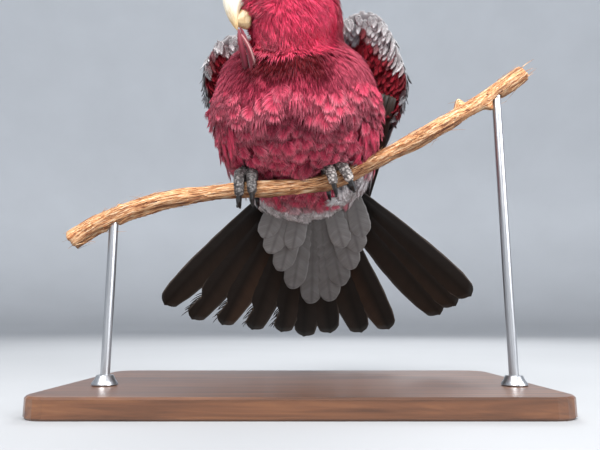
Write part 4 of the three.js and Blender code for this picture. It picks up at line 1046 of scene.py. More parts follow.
# the beard: feathers of the cheek that spread forward over the lower mandible
p, n, l, uv = roots(lambda p, n, l: np.full(len(p), 1.5), 55, (tri_label == HEAD) * (np.abs((ctr - HC) @ HL) > 5.0) * (np.abs((ctr - HC) @ HF - 13) < 7.5) * (np.abs((ctr - HC) @ HU + 8) < 11))
r = np.random.default_rng(56)
loc = head_local(p)
sg = np.sign(loc[:, 1])
out_ = unit(HL * sg[:, None] * 0.9 + HF * 0.25 - HU * 0.3)
ok = (dot(n, out_) > -0.1) & clear_face(p)
p, n, l, uv, loc, sg = p[ok], n[ok], l[ok], uv[ok], loc[ok], sg[ok]
forward = unit(HF + HL * (0.10 * sg - 0.02 * loc[:, 1])[:, None] - HU * (0.20 + 0.15 * r.normal(size=len(p)))[:, None])
length = 9.6 + 2.4 * r.random(len(p)) - 1.5 * smooth(-2, 4, loc[:, 2])
colour = np.clip(marking(p, n, l) * (0.92 + 0.09 * r.normal(size=(len(p), 1))), 0, 1)
shapes = [tuft(340 + k, 9, 3.4, 7, mottle=0.3) for k in range(6)]
TOTAL += dress("coat_beard", shapes, r.integers(0, 6, len(p)), p, n, l, uv, length, length * 0.40, 2.0 + 1.6 * r.random(len(p)), 0.5 * r.random(len(p)), colour, 0.2 + 0.5 * r.random(len(p)), M_HEAD,
               turn=0.10 * r.normal(size=len(p)), droop=0.15, low=0.2, base_dark=0.8, tip_from=0.55, stiff=0.6, free=0.75, aim=forward)


# mantle, rump and the wings' coverts
def arm_spacing(p, n, label):
    s = np.full(len(p), 5.4)
    for k, W in WING.items():
        m = label == k
        if m.any():
            d, _ = edge_distance(p[m], W)
            s[m] = 2.7 + 2.2 * smooth(8, 30, d)
    return s


p, n, l, uv = roots(arm_spacing, 71, np.isin(tri_label, [MANTLE, ARML, ARMR]).astype(float))
size = 1 + 0.08 * rng.normal(size=len(p)).clip(-2, 2)
length = 19.0 * size
width = 13.5 * size
tipc = np.full(len(p), 0.35)
lift = np.full(len(p), 3.4)
curl = 0.3 * rng.normal(size=len(p))
inner_face = np.zeros(len(p), bool)
for k, W in WING.items():
    m = np.where(l == k)[0]
    d, _ = edge_distance(p[m], W)
    o = outside(p[m], n[m], W)
    g = smooth(6, 30, d)
    length[m] = (9.5 + 9.5 * g) * size[m]
    width[m] = (5.6 + 6.4 * g) * size[m]
    lift[m] = 2.0 + 0.5 * tone2(p[m]) + 0.3 * rng.normal(size=len(m))
    curl[m] = (1.1 * (1 - g) + 0.2) * (0.5 + rng.normal(size=len(m)))
    tipc[m] = 0.8 - 0.5 * g
    inner_face[m] = o < 0.5
turn_ = 0.12 * rng.normal(size=len(p))
colour = np.clip(marking(p, n, l) * (1 + 0.05 * tone1(p)[:, None] + 0.08 * rng.normal(size=(len(p), 1))), 0, 1)
shapes = [contour(500 + k, 20, 12.5, 21, ragged=0.08, core=0.66, spread=108, fine=0.85, stations=3, blunt=0.85) for k in range(6)]
kinds = rng.integers(0, 6, len(p))
for flag, name, mat in ((inner_face, "coat_wing_lining", M_LINING), (~inner_face, "coat_back", M_GREY)):
    TOTAL += dress(name, shapes, kinds[flag], p[flag], n[flag], l[flag], uv[flag], length[flag], width[flag], lift[flag], curl[flag], colour[flag], tipc[flag], mat,
                   turn=turn_[flag], droop=0.6, base_dark=0.55)

# crest: long narrow feathers lying along the crown, tips just free behind
r = np.random.default_rng(91)
k = r.random(64)
cy = r.normal(size=64) * 5.2 * (1 - 0.3 * k)
cx = 15 - 26 * k
cp, cn, ct, cb = on_skin(head_at(cx, cy, 23 - 0.03 * (cx - 2) ** 2 - 0.05 * cy * cy))
cuv = (SKIN_UV[ct] * cb[:, :, None]).sum(1)
cl = np.full(len(cp), HEAD)
clen = 19 + 11 * r.random(len(cp))
cc = np.clip(np.repeat(srgb(240, 205, 208)[None], len(cp), 0) * (1 + 0.06 * r.normal(size=(len(cp), 1))), 0, 1)
shapes = [contour(700 + k, 28, 7, 19, ragged=0.08, spread=70, core=0.5, fine=0.8) for k in range(4)]
TOTAL += dress("coat_crest", shapes, r.integers(0, 4, len(cp)), cp, cn, cl, cuv, clen, clen * 0.21, 3.4 + 1.6 * r.random(len(cp)), 0.8 + 1.2 * r.random(len(cp)), cc, np.full(len(cp), 0.3), M_HEAD,
               turn=0.06 * r.normal(size=len(cp)), stiff=0.7, stands_for=["crest"])


# ---------------------------------------------------------------- long feathers
class Plume:
    """Gathers vanes for one piece. A vane is a thin closed plate on a curved sheet, with a raised shaft."""

    def __init__(self):
        self.v, self.f, self.c, self.uv, self.vane, self.count, self.strips = [], [], [], [], [], 0, 0

    def add(self, v, f, c, bake, vane):
        self.v.append(v)
        self.f.append(f + self.count)
        self.c.append(c)
        self.uv.append(bake)
        self.vane.append(vane)
        self.count += len(v)

    def vane_plate(self, place, length, left, right, end, base, edge, shaft, thick=0.45, nu=26, nv=9, u0=0.0, rachis=0.75, ripple=0.12, seed=0, slot=(0, 0, 1, 1), tint=None):
        """place(s, v, w): point for s mm along, v mm across, w mm up. left(t), right(t): half widths. end(x): how far the tip falls back at x in -1..1."""
        r = np.random.default_rng(seed)
        t = np.linspace(u0, 1, nu)
        t = t ** 0.9 if u0 == 0 else t
        x = np.linspace(-1, 1, nv)
        x = np.sign(x) * np.abs(x) ** 0.85
        T, X = np.meshgrid(t, x, indexing="ij")
        back = end(X)
        S = T * (length - back)
        wob = 1 + 0.012 * np.sin(S * 0.9 + seed) + 0.010 * np.sin(S * 2.3 + 2 * seed)
        Vv = np.where(X < 0, X * left(T) * wob, X * right(T) * wob)
        mid = np.exp(-(Vv / (0.55 + 0.5 * (1 - T))) ** 2)
        wave = ripple * np.sin(S * 0.55 + np.abs(Vv) * 0.5 + seed) * np.abs(X)
        up = thick / 2 * (1 - 0.55 * np.abs(X)) + rachis * (1.1 - T) * mid + wave
        dn = -thick / 2 * (1 - 0.55 * np.abs(X)) - 0.9 * rachis * (1.1 - T) * mid + wave
        top = place(S.ravel(), Vv.ravel(), up.ravel())
        bot = place(S.ravel(), Vv.ravel(), dn.ravel())
        idx = np.arange(nu * nv).reshape(nu, nv)
        q = np.stack([idx[:-1, :-1], idx[1:, :-1], idx[1:, 1:], idx[:-1, 1:]], -1).reshape(-1, 4)
        n0 = nu * nv
        rim = np.concatenate([idx[:, 0], idx[-1, 1:], idx[-2::-1, -1], idx[0, -2:0:-1]])
        rim2 = np.roll(rim, -1)
        side = np.stack([rim, rim + n0, rim2 + n0, rim2], -1)
        quads = np.concatenate([q[:, ::-1], q + n0, side[:, ::-1]])
        col = base[None] + (edge - base)[None] * (smooth(0.86, 1.0, np.abs(X)) * smooth(0.1, 0.5, T)).reshape(-1, 1)
        if tint is not None:
            col = tint(col, T.ravel(), X.ravel())
        sh = np.exp(-(Vv / (0.32 + 0.3 * (1 - T))) ** 2).reshape(-1, 1) * 0.9
        col = col * (1 - sh) + shaft * sh
        col = np.concatenate([col, col])
        ux, uy, uw, uh = slot
        bx, by = ux + uw * (X + 1) / 4, uy + uh * T
        bake = np.concatenate([np.stack([bx.ravel(), by.ravel()], -1), np.stack([(bx + uw / 2).ravel(), by.ravel()], -1)])
        vn = np.stack([Vv.ravel(), S.ravel()], -1)
        self.add(np.concatenate([top, bot]), triangles(quads), np.clip(col, 0, 1), bake, np.concatenate([vn, vn]))

    def barb(self, place, path, width, lift, col, slot, stations=6):
        """A loose barb lock: path is (n, 2) of s, v in mm."""
        ss = np.linspace(0, 1, len(path))
        wd = width * np.interp(ss, [0, 0.5, 0.85, 1], [1, 0.9, 0.5, 0])
        v, f = lock(path, wd, lift * ss ** 2, 0.3)
        pos = place(v[:, 0], v[:, 1], v[:, 2])
        ux, uy, uw, uh = slot
        self.add(pos, f, np.repeat(np.asarray(col)[None], len(v), 0), np.repeat(A(ux + uw * 0.1, uy + uh * 0.9)[None], len(v), 0) + 0.002 * np.stack([v[:, 1] * 0 + ss.repeat(3)[: len(v)], v[:, 2] * 0], -1), v[:, [1, 0]])

    def make(self, name, mat, replaces=()):
        return build(name, np.concatenate(self.v), np.concatenate(self.f), mat, np.concatenate(self.c), np.concatenate(self.uv),
                     uvs={"vane": np.concatenate(self.vane)}, replaces=replaces)


def strips(count, columns):
    """Bake places for count feathers side by side."""
    rows = math.ceil(count / columns)
    return [((i % columns) / columns + 0.004, (i // columns) / rows + 0.004, 1 / columns - 0.008, 1 / rows - 0.008) for i in range(count)]


# tail fan
ROOT = A(6, 54, 22 + H)
sl = math.radians(35)
TD, TN = A(0, math.sin(sl), -math.cos(sl)), A(0, math.cos(sl), math.sin(sl))
ARCH = 0.002


def fan_at(a, b, n):
    return ROOT + a[..., None] * A(1, 0, 0) + b[..., None] * TD + (n - ARCH * a * a)[..., None] * TN


RECTRICES = [[-45.1, -2], [-35.6, 1], [-26.6, -1], [-17.3, -1], [-8.2, -1], [-1.2, 3.5], [7, 0.5], [16.4, 2], [24.6, 2.5], [40.2, 2], [45.6, 0], [51, -1.5]]
DARK, EDGE, SHAFT = srgb(24, 21, 20), srgb(84, 73, 66), srgb(12, 10, 10)
tail = Plume()
slots = strips(12, 6)
FRAYED = {2: 1, 3: 1, 4: 1, 1: 1}
for i, (deg, more) in enumerate(RECTRICES):
    g = math.radians(deg)
    reach = 162.5 + more
    outer = -1 if i < 6 else 1                # the way of the narrow outer vane
    n_tip = -0.8 * (abs(i - 5.5) - 0.5)

    def place(s, v, w, g=g, n_tip=n_tip):
        # s from the fan's own origin outwards, v square to the shaft
        a = 0.7 + s * math.sin(g) + v * math.cos(g)
        b = -15 + s * math.cos(g) - v * math.sin(g)
        bow = 0.016 * v * v * 0.55
        return fan_at(a, b, n_tip * np.clip(s / 160, 0, 1) * 1.25 + w + bow * smooth(20, 120, s))

    oh = lambda T: np.interp(T, [0, 0.3, 0.55, 0.8, 0.93, 1], [1.6, 4.5, 7.5, 9.6, 9.6, 8.0])
    ih = lambda T: np.interp(T, [0, 0.25, 0.5, 0.7, 0.84, 0.94, 1], [1.6, 7.5, 14.5, 16.6, 15.2, 12.0, 9.0])
    fray = i in FRAYED
    if fray:
        oh = lambda T: np.interp(T, [0, 0.3, 0.55, 0.82, 0.87, 0.905, 0.95, 1], [1.6, 4.5, 7.5, 9.6, 8.0, 4.2, 6.2, 7.5])
    left, right = (oh, ih) if outer < 0 else (ih, oh)
    end = lambda X: 1.0 + 1.8 * np.abs(X) ** 4 + 4.5 * np.clip(X * outer, 0, 1) ** 1.6 - 0.8 * np.exp(-(X / 0.12) ** 2)
    # painted glow: brown light shining through the thin inner vanes, painted into their colour
    glow = srgb(78, 54, 38) if i in (2, 8) else srgb(44, 34, 28)

    def tint(col, T, X, outer=outer, glow=glow, i=i):
        k = (smooth(0.25, 0.8, T) * smooth(0.05, 0.5, X * -outer) * (0.7 + 0.3 * math.sin(i * 2.1)))[:, None]
        return col * (1 - k) + glow * k

    tail.vane_plate(place, reach, left, right, end, DARK, EDGE, SHAFT, nu=30, nv=11, u0=0.06, seed=i, slot=slots[i], tint=tint)
    if fray:
        r = np.random.default_rng(800 + i)
        for k in range(9):
            s0 = reach * (0.84 + 0.012 * k)
            span = 6.0 + 3.5 * r.random()
            ss = np.linspace(0, 1, 7)
            path = np.stack([s0 + span * (0.75 * ss + 0.5 * ss ** 2), outer * (2.2 + (6.5 + 3.5 * r.random()) * (ss ** 0.8) - 2.4 * ss ** 3 * r.random())], -1)
            tail.barb(place, path, 0.5, 0.6 * r.normal(), DARK * 1.3, slots[i])
tail.make("tail_feathers", M_QUILL, replaces=["tail"])

# grey leaf-shaped coverts under the tail
LEAVES = [  # tip, base, width and layer of the feathers of the V, from the longest outwards
    (3.7, 111.5, 4.4, 24, 20, 0), (19.5, 108.5, 9, 24, 20, 0.5), (-11.6, 96.5, -1, 20, 19, 1), (28, 92.7, 12, 20, 19.5, 1.3),
    (-21.3, 78.5, -6, 16, 18.5, 2), (36, 75.5, 18, 16, 18.5, 2.3), (-29, 61, -13, 10, 18, 3), (40, 58.5, 26, 10, 17.5, 3.2),
    (11, 92, 7, 22, 18, -0.4), (-33, 46, -19, 6, 16.5, 4), (42, 44.5, 32, 4, 16.5, 4.1), (-12, 58, -4, 10, 17, 3.6), (28, 55, 15, 10, 17, 3.8)]
leafs = [(lay, A(ta, tb), A(ba, bb), wd) for ta, tb, ba, bb, wd, lay in LEAVES]
under_tail = Plume()
slots = strips(len(leafs), 10)
for j, (lay, tipp, start, wd) in enumerate(leafs):
    r = np.random.default_rng(900 + j)
    ln = np.linalg.norm(tipp - start)
    d = (tipp - start) / ln
    side = A(d[1], -d[0])

    def place(s, v, w, start=start, d=d, side=side, ln=ln, lay=lay, wd=wd):
        a = start[0] + d[0] * s + side[0] * v
        b = start[1] + d[1] * s + side[1] * v
        t = np.clip(b / 105, 0, 1)
        sheet = -7.0 - 8.0 * (1 - t) ** 2 - 4.0 * (1 - t)
        return fan_at(a, b, sheet - 0.75 * lay * (0.4 + 0.6 * smooth(0, 1, s / ln)) - 0.8 * smooth(0.2, 1, s / ln) + 3.0 * (v / wd) ** 2 - w)

    half = lambda T, wd=wd: wd / 2 * np.interp(T, [0, 0.2, 0.45, 0.65, 0.8, 0.9, 0.96, 1], [0.40, 0.66, 0.88, 0.97, 1.0, 0.95, 0.82, 0.60])
    end = lambda X: 3.4 * np.abs(X) ** 2.6 + 0.9 * X
    g = 0.62 + 0.12 * r.random() + 0.07 * lay
    base = srgb(140, 139, 139) * g

    def tint(col, T, X, r=r):
        k = (0.80 + 0.20 * smooth(0.2, 0.9, T))[:, None] + 0.05 * np.sin(9 * T + 5 * X * r.random())[:, None]
        return col * k

    under_tail.vane_plate(place, ln, half, half, end, base, srgb(150, 149, 149) * g, srgb(116, 114, 114) * g, nu=20, nv=13, seed=40 + j, slot=slots[j], rachis=0.10, ripple=0.18, thick=0.5, tint=tint)
under_tail.make("undertail_coverts_leaf", M_LEAF, replaces=["undertail_coverts"])

# folded flight feathers of both wings
PRIM = [(1, 226), (6, 245), (14, 258), (21, 252), (27, 237), (33, 219), (38, 199), (44, 171), (50, 150), (56, 138), (63, 132), (70, 127), (77, 121), (84, 112), (90, 100)]
for key, W in WING.items():
    side = W["side"]
    wrist, elbow = W["wrist"] + A(0, 0, H), W["elbow"] + A(0, 0, H)
    outw = unit(A(side * 0.9, 0.39, 0.17))
    across = elbow - wrist
    across = unit(across - outw * (across @ outw))
    fl, inn = unit(W["flight"]), unit(W["inner"])

    def sheet(pp, q, lift):
        g = q / 84
        o = outw * np.cos(g)[:, None] + across * np.sin(g)[:, None]
        k = smooth(0, 95, q)[:, None]
        d = unit(fl * (1 - k) + inn * k)
        return wrist + across * (84 * np.sin(g))[:, None] - outw * (84 * (1 - np.cos(g)))[:, None] + d * pp[:, None] + o * lift[:, None]

    wing = Plume()
    allslots = strips(len(PRIM) + 14, 6)
    slots, gslots = allslots[:len(PRIM)], allslots[len(PRIM):]
    for j, (q1, p1) in enumerate(PRIM):
        q0 = 3 + 66 * (q1 / 92)
        p0 = 13.0 + 0.10 * q1
        ln = p1 - p0
        primary = j < 9
        hang = np.interp(q1, [0, 50, 92], [-0.4, 1.0, 3.0])

        def place(s, v, w, q0=q0, q1=q1, p0=p0, ln=ln, hang=hang):
            t = s / ln
            q = q0 + (q1 - q0) * t + v
            base = -3.5 + hang * t + 4.2 * np.sin(np.pi * np.clip(t, 0, 1)) * (1 - q1 / 110)
            return sheet(p0 + s, q, base + w + 0.9 * smooth(-8, 8, v) - 0.7)

        if primary:
            lo = lambda T: np.interp(T, [0, 0.3, 0.7, 0.92, 1], [2.5, 4.2, 3.8, 3.0, 1.8])
            hi = lambda T: np.interp(T, [0, 0.3, 0.7, 0.9, 1], [5, 11.5, 11.5, 9, 4.2])
            end = lambda X: 1.0 + 7 * np.abs(X) ** 2.4
        else:
            lo = lambda T: np.interp(T, [0, 0.3, 0.75, 0.93, 1], [3, 6.0, 6.5, 4.6, 1.2])
            hi = lambda T: np.interp(T, [0, 0.3, 0.75, 0.93, 1], [5, 10.5, 11, 7.5, 1.6])
            end = lambda X: 1.0 + 4 * np.abs(X) ** 2
        grey = smooth(30, 80, q1)
        base = srgb(52, 46, 44) * (1 - grey) + srgb(128, 127, 132) * grey
        edge = srgb(98, 90, 86) * (1 - grey) + srgb(176, 176, 180) * grey
        lw, rw = (lo, hi)
        wing.vane_plate(place, ln, lw, rw, end, base, edge, srgb(60, 50, 46), nu=24, nv=7, seed=60 + j, slot=slots[j], thick=0.5)
    for j in range(14):
        q1 = 3.0 + 6.8 * j
        long_ = 64 + 10 * smooth(25, 45, q1) - 6 * smooth(70, 95, q1) + 2 * math.sin(j * 2.7)
        ln = long_ - 18

        def place(s, v, w, q1=q1, ln=ln):
            t = s / ln
            return sheet(18 + s, 3 + 0.86 * q1 + 0.14 * q1 * t + v, 1.5 - 1.6 * t + w + 0.7 * smooth(-6, 6, v) - 0.4)

        half = lambda T: 6.4 * np.interp(T, [0, 0.3, 0.7, 0.9, 1], [0.6, 1, 1, 0.75, 0.4])
        wing.vane_plate(place, ln, half, half, lambda X: 3.6 * np.abs(X) ** 2.2, srgb(126, 125, 130) * (0.85 + 0.15 * smooth(20, 50, q1)), srgb(172, 171, 175), srgb(84, 82, 84), nu=14, nv=9, seed=160 + j, slot=gslots[j], thick=0.45, rachis=0.3)
    wing.make("wing_left_quills" if side > 0 else "wing_right_quills", M_QUILL, replaces=["wing_left_flight" if side > 0 else "wing_right_flight"])

print("COAT total", TOTAL, flush=True)


# ------------------------------------------------------- bill, eyes, feet, claws
def sharpened(v, near):
    """A claw drawn out to a point: it thins along its own bent axis away from the toe at near."""
    c = v.mean(0)
    axis = np.linalg.svd(v - c, full_matrices=False)[2][0]
    t = (v - c) @ axis
    if np.linalg.norm(v[t.argmax()] - near) < np.linalg.norm(v[t.argmin()] - near):
        axis, t = -axis, -t
    t = (t - t.min()) / max(np.ptp(t), 1e-6)
    at = np.linspace(0, 1, 9)
    mid = np.stack([(v * np.exp(-((t - k) / 0.10) ** 2)[:, None]).sum(0) / np.exp(-((t - k) / 0.10) ** 2).sum() for k in at])
    line = np.stack([np.interp(t, at, mid[:, a]) for a in range(3)], -1)
    return line + (v - line) * (1 - 0.62 * t ** 1.2)[:, None]


def refined(names, size, smoothing, grow=0.0, toe=None):
    v, f = [], []
    o = 0
    for nme in names:
        a, b = welded(nme)
        if toe is not None:
            a = sharpened(a, toe[((toe[:, None] - a.mean(0)) ** 2).sum(-1).argmin()])
        if grow:
            a = a + vertex_normals(a, b) * grow
        v.append(a)
        f.append(b + o)
        o += len(a)
    v, f = voxel(np.concatenate(v), np.concatenate(f), size)
    return relax(v, f, smoothing), f


m_bill, t, p_ = material("bill_horn")
tc = t.nodes.new("ShaderNodeTexCoord")
mp = t.nodes.new("ShaderNodeMapping")
mp.inputs["Scale"].default_value = (900, 900, 90)
link(t, tc.outputs["Object"], mp.inputs["Vector"])
n1 = node(t, "ShaderNodeTexNoise", Scale=1.0, Detail=4.0, Roughness=0.6)
link(t, mp.outputs["Vector"], n1.inputs["Vector"])
col = t.nodes.new("ShaderNodeVertexColor")
col.layer_name = "tint"
link(t, mix(t, "MULTIPLY", 1.0, col.outputs["Color"], ramp(t, n1.outputs["Fac"], [(0.3, (0.74, 0.70, 0.64)), (0.55, (1, 1, 1))])), p_.inputs["Base Color"])
p_.inputs["Roughness"].default_value = 0.38
p_.inputs["Subsurface Weight"].default_value = 0.12
p_.inputs["Subsurface Radius"].default_value = (0.002, 0.0014, 0.0008)
bp = node(t, "ShaderNodeBump", Strength=0.25, Distance=0.0003)
link(t, n1.outputs["Fac"], bp.inputs["Height"])
link(t, bp.outputs["Normal"], p_.inputs["Normal"])


def box_uv(v, f):
    """Unwrap by the way each face looks, six flat patches side by side."""
    t = triangles(f)
    nrm = np.cross(v[t[:, 1]] - v[t[:, 0]], v[t[:, 2]] - v[t[:, 0]])
    ax = np.abs(nrm).argmax(1)
    sg = (nrm[np.arange(len(ax)), ax] > 0).astype(int)
    lo, hi = v.min(0), v.max(0)
    big = (hi - lo).max()
    uv = np.zeros((len(t), 3, 2))
    for k in range(6):
        m = ax * 2 + sg == k
        keep = [a for a in range(3) if a != k // 2]
        uv[m] = (v[t[m]][:, :, keep] - lo[keep]) / big * 0.30 + [0.01 + 0.33 * (k % 3), 0.01 + 0.5 * (k // 3)]
    return t, uv.reshape(-1, 2)


for nme in ("bill_upper", "bill_lower"):
    v, f = refined([nme], 0.55, 3)
    loc = head_local(v)
    k = smooth(-4, -20, loc[:, 2])[:, None]
    c = srgb(232, 226, 208) * (1 - k) + srgb(222, 190, 140) * k
    if nme == "bill_lower":
        # painted shade: the lower mandible is a darker tan than the upper bill, as if shadowed under the cheek feathers
        c = np.repeat(srgb(186, 160, 120)[None], len(v), 0)
        v = v - HL * (loc[:, 1] * 0.40)[:, None] + HF * (3.6 + (24.5 - loc[:, 0]).clip(0) * 0.46)[:, None] - HU * 1.6
    t_, u_ = box_uv(v, f)
    build(nme + "_horn", v, t_, m_bill, c, u_, replaces=[nme])

# eyes: dark brown, wet, with a paler rim of iris, and a wrinkled ring of bare skin
m_eye, t, p_ = material("eye")
col = t.nodes.new("ShaderNodeVertexColor")
col.layer_name = "tint"
tc = t.nodes.new("ShaderNodeTexCoord")
n1 = node(t, "ShaderNodeTexNoise", Scale=1500.0, Detail=2.0)
link(t, tc.outputs["Object"], n1.inputs["Vector"])
link(t, mix(t, "MULTIPLY", 1.0, col.outputs["Color"], ramp(t, n1.outputs["Fac"], [(0.3, (0.7,) * 3), (0.7, (1, 1, 1))])), p_.inputs["Base Color"])
p_.inputs["Roughness"].default_value = 0.06
p_.inputs["Coat Weight"].default_value = 1.0
p_.inputs["Coat Roughness"].default_value = 0.02
m_lid, t, p_ = material("eye_ring")
tc = t.nodes.new("ShaderNodeTexCoord")
n1 = node(t, "ShaderNodeTexVoronoi", Scale=1400.0)
link(t, tc.outputs["Object"], n1.inputs["Vector"])
link(t, ramp(t, n1.outputs["Distance"], [(0.0, tuple(srgb(214, 196, 192))), (0.6, tuple(srgb(170, 140, 138)))]), p_.inputs["Base Color"])
p_.inputs["Roughness"].default_value = 0.55
bp = node(t, "ShaderNodeBump", Strength=0.5, Distance=0.0003)
link(t, n1.outputs["Distance"], bp.inputs["Height"])
link(t, bp.outputs["Normal"], p_.inputs["Normal"])
for side, nme in ((1, "eye_left"), (-1, "eye_right")):
    nu, nv = 26, 18
    th, ph = np.meshgrid(np.linspace(0, 2 * np.pi, nu, endpoint=False), np.linspace(0, np.pi, nv), indexing="ij")
    outv = unit(A(0.10, side * 1.0, 0.05))
    e1 = unit(np.cross(outv, A(0, 0, 1)))
    e2 = np.cross(outv, e1)
    R = 4.55
    loc = (np.cos(ph)[..., None] * outv * (R + 0.25 * np.exp(-(ph[..., None] / 0.5) ** 2)) + np.sin(ph)[..., None] * R * (np.cos(th)[..., None] * e1 + np.sin(th)[..., None] * e2))
    P = head_at(EYE_AT[0] + loc[..., 0], side * EYE_AT[1] + loc[..., 1] + 0 * th, EYE_AT[2] + loc[..., 2]).reshape(-1, 3)
    idx = np.arange(nu * nv).reshape(nu, nv)
    nx = np.roll(idx, -1, 0)
    q = np.stack([idx[:, :-1], idx[:, 1:], nx[:, 1:], nx[:, :-1]], -1).reshape(-1, 4)
    if side < 0:
        q = q[:, ::-1]
    a = ph.ravel()
    iris = (smooth(0.42, 0.46, a) * smooth(1.0, 0.9, a))[:, None]
    c = srgb(8, 6, 6) * (1 - iris) + srgb(34, 16, 12) * iris
    t_, u_ = box_uv(P, q)
    build(nme + "_ball", P, t_, m_eye, c, u_, replaces=[nme])
    # lids: a closed ring that hugs the ball, wrinkled outwards
    nu, nv = 60, 12
    th, ps = np.meshgrid(np.linspace(0, 2 * np.pi, nu, endpoint=False), np.linspace(0, 2 * np.pi, nv, endpoint=False), indexing="ij")
    squash = 1 - 0.16 * np.abs(np.sin(th)) ** 1.5
    open_r = 3.6 * squash
    ring_w = 1.7
    fold = 0.22 * np.sin(3 * ps + 6 * np.sin(th)) + 0.12 * np.sin(17 * th) * smooth(0, 1, np.cos(ps))
    rad = open_r + ring_w * (1 + np.cos(ps)) * 0.5 + fold * 0.5
    height = np.sqrt(np.maximum(R ** 2 - np.minimum(rad, R - 0.05) ** 2, 0)) * 0.92 + 0.28 + 0.62 * np.sin(ps) - 0.9 * np.maximum(rad - 4.4, 0)
    loc = height[..., None] * outv + rad[..., None] * (np.cos(th)[..., None] * e1 + np.sin(th)[..., None] * e2)
    P = head_at(EYE_AT[0] + loc[..., 0], side * EYE_AT[1] + loc[..., 1], EYE_AT[2] + loc[..., 2]).reshape(-1, 3)
    idx = np.arange(nu * nv).reshape(nu, nv)
    a_, b_ = np.roll(idx, -1, 0), np.roll(idx, -1, 1)
    q = np.stack([idx, a_, np.roll(a_, -1, 1), b_], -1).reshape(-1, 4)
    if side < 0:
        q = q[:, ::-1]
    t_, u_ = box_uv(P, q)
    build(nme + "_ring", P, t_, m_lid, None, u_)

# feet: scutes across the toes
m_toe, t, p_ = material("toe_scales")
tc = t.nodes.new("ShaderNodeTexCoord")
mp = t.nodes.new("ShaderNodeMapping")
mp.inputs["Scale"].default_value = (480, 620, 620)
link(t, tc.outputs["Object"], mp.inputs["Vector"])
vo = node(t, "ShaderNodeTexVoronoi", Scale=1.0)
link(t, mp.outputs["Vector"], vo.inputs["Vector"])
n2 = node(t, "ShaderNodeTexNoise", Scale=160.0, Detail=3.0)
link(t, tc.outputs["Object"], n2.inputs["Vector"])
base = ramp(t, vo.outputs["Distance"], [(0.0, tuple(srgb(238, 234, 230))), (0.35, tuple(srgb(196, 190, 186))), (0.62, tuple(srgb(96, 90, 88)))])
col = t.nodes.new("ShaderNodeVertexColor")
col.layer_name = "tint"
base = mix(t, "MULTIPLY", 1.0, base, col.outputs["Color"])
link(t, mix(t, "MULTIPLY", 1.0, base, ramp(t, n2.outputs["Fac"], [(0.35, (0.66, 0.64, 0.64)), (0.62, (1, 1, 1))])), p_.inputs["Base Color"])
p_.inputs["Roughness"].default_value = 0.5
bp = node(t, "ShaderNodeBump", Strength=0.9, Distance=0.0006)
bp.invert = True
link(t, vo.outputs["Distance"], bp.inputs["Height"])
link(t, bp.outputs["Normal"], p_.inputs["Normal"])
for nme in ("foot_left", "foot_right"):
    v, f = refined([nme], 0.6, 3)
    nrm = vertex_normals(v, triangles(f))
    scute = 0.16 * np.sin(v[:, 2] * 3.4 + 1.2 * np.sin(v[:, 0] * 1.3)) * smooth(-0.2, 0.5, -nrm[:, 1] + 0.4)
    v = v + nrm * (scute + 0.55)[:, None]
    t_, u_ = box_uv(v, f)
    # painted shade: the right foot is tinted much darker than the left, as if in shade
    build(nme + "_scaled", v, t_, m_toe, np.repeat((A(0.30, 0.295, 0.30) if nme == "foot_right" else A(1.0, 0.97, 0.95))[None], len(v), 0), u_, replaces=[nme])

m_claw, t, p_ = material("claw_horn")
tc = t.nodes.new("ShaderNodeTexCoord")
n1 = node(t, "ShaderNodeTexNoise", Scale=420.0, Detail=2.0)
link(t, tc.outputs["Object"], n1.inputs["Vector"])
link(t, ramp(t, n1.outputs["Fac"], [(0.35, tuple(srgb(12, 11, 11))), (0.75, tuple(srgb(40, 36, 35)))]), p_.inputs["Base Color"])
p_.inputs["Roughness"].default_value = 0.34
p_.inputs["Coat Weight"].default_value = 0.12
for s in ("left", "right"):
    names = [f"claw_{s}_{i}" for i in range(1, 5)]
    v, f = refined(names, 0.3, 1, grow=0.25, toe=welded(f"foot_{s}")[0])
    t_, u_ = box_uv(v, f)
    build(f"claws_{s}", v, t_, m_claw, None, u_, replaces=names)

# breast feathers drawn into the bill's tip
held = Plume()
tip_at = head_at(31.6, 0., -21.6)
slots = strips(3, 3)
for i, (root, mid, wide) in enumerate([(A(-27.5, -38.5, 65 + H), A(-29.5, -50.5, 75 + H), 1.8), (A(-33.0, -37.5, 64 + H), A(-36.0, -51.5, 75 + H), 1.9), (A(-30.0, -37.0, 61 + H), A(-31.0, -49.0, 76 + H), 1.7)]):
    end_ = tip_at + A(0.7 * i - 0.7, -1.3 + 0.3 * i, -1.6 + 1.4 * i)
    full = np.linalg.norm(end_ - mid) + np.linalg.norm(mid - root)
    outv = unit(A(0.5 - 0.6 * i, -1, 0.2))

    def place(s, v, w, root=root, mid=mid, end_=end_, full=full, outv=outv):
        k = np.clip(s / full, 0, 1)[:, None]
        c = root * (1 - k) ** 2 + 2 * mid * k * (1 - k) + end_ * k ** 2
        d = unit((mid - root) * (1 - k) + (end_ - mid) * k)
        b = unit(np.cross(d, outv))
        n_ = np.cross(b, d)
        return c + b * v[:, None] + n_ * (w - 0.16 * v * v)[:, None]

    half = lambda T, wide=wide: wide * np.interp(T, [0, 0.3, 0.6, 0.85, 1], [0.9, 1.0, 0.9, 0.6, 0.3]) * (1 + 0.10 * np.sin(T * 41 + wide * 9))
    held.vane_plate(place, full, half, half, lambda X: 0.8 * np.abs(X), srgb(112, 12, 36), srgb(126, 24, 50), srgb(206, 160, 158) if i == 0 else srgb(132, 40, 62), nu=26, nv=11, seed=i, slot=slots[i], thick=0.4, rachis=0.16)
held.make("held_feathers_vanes", M_LEAF, replaces=["held_feathers"])


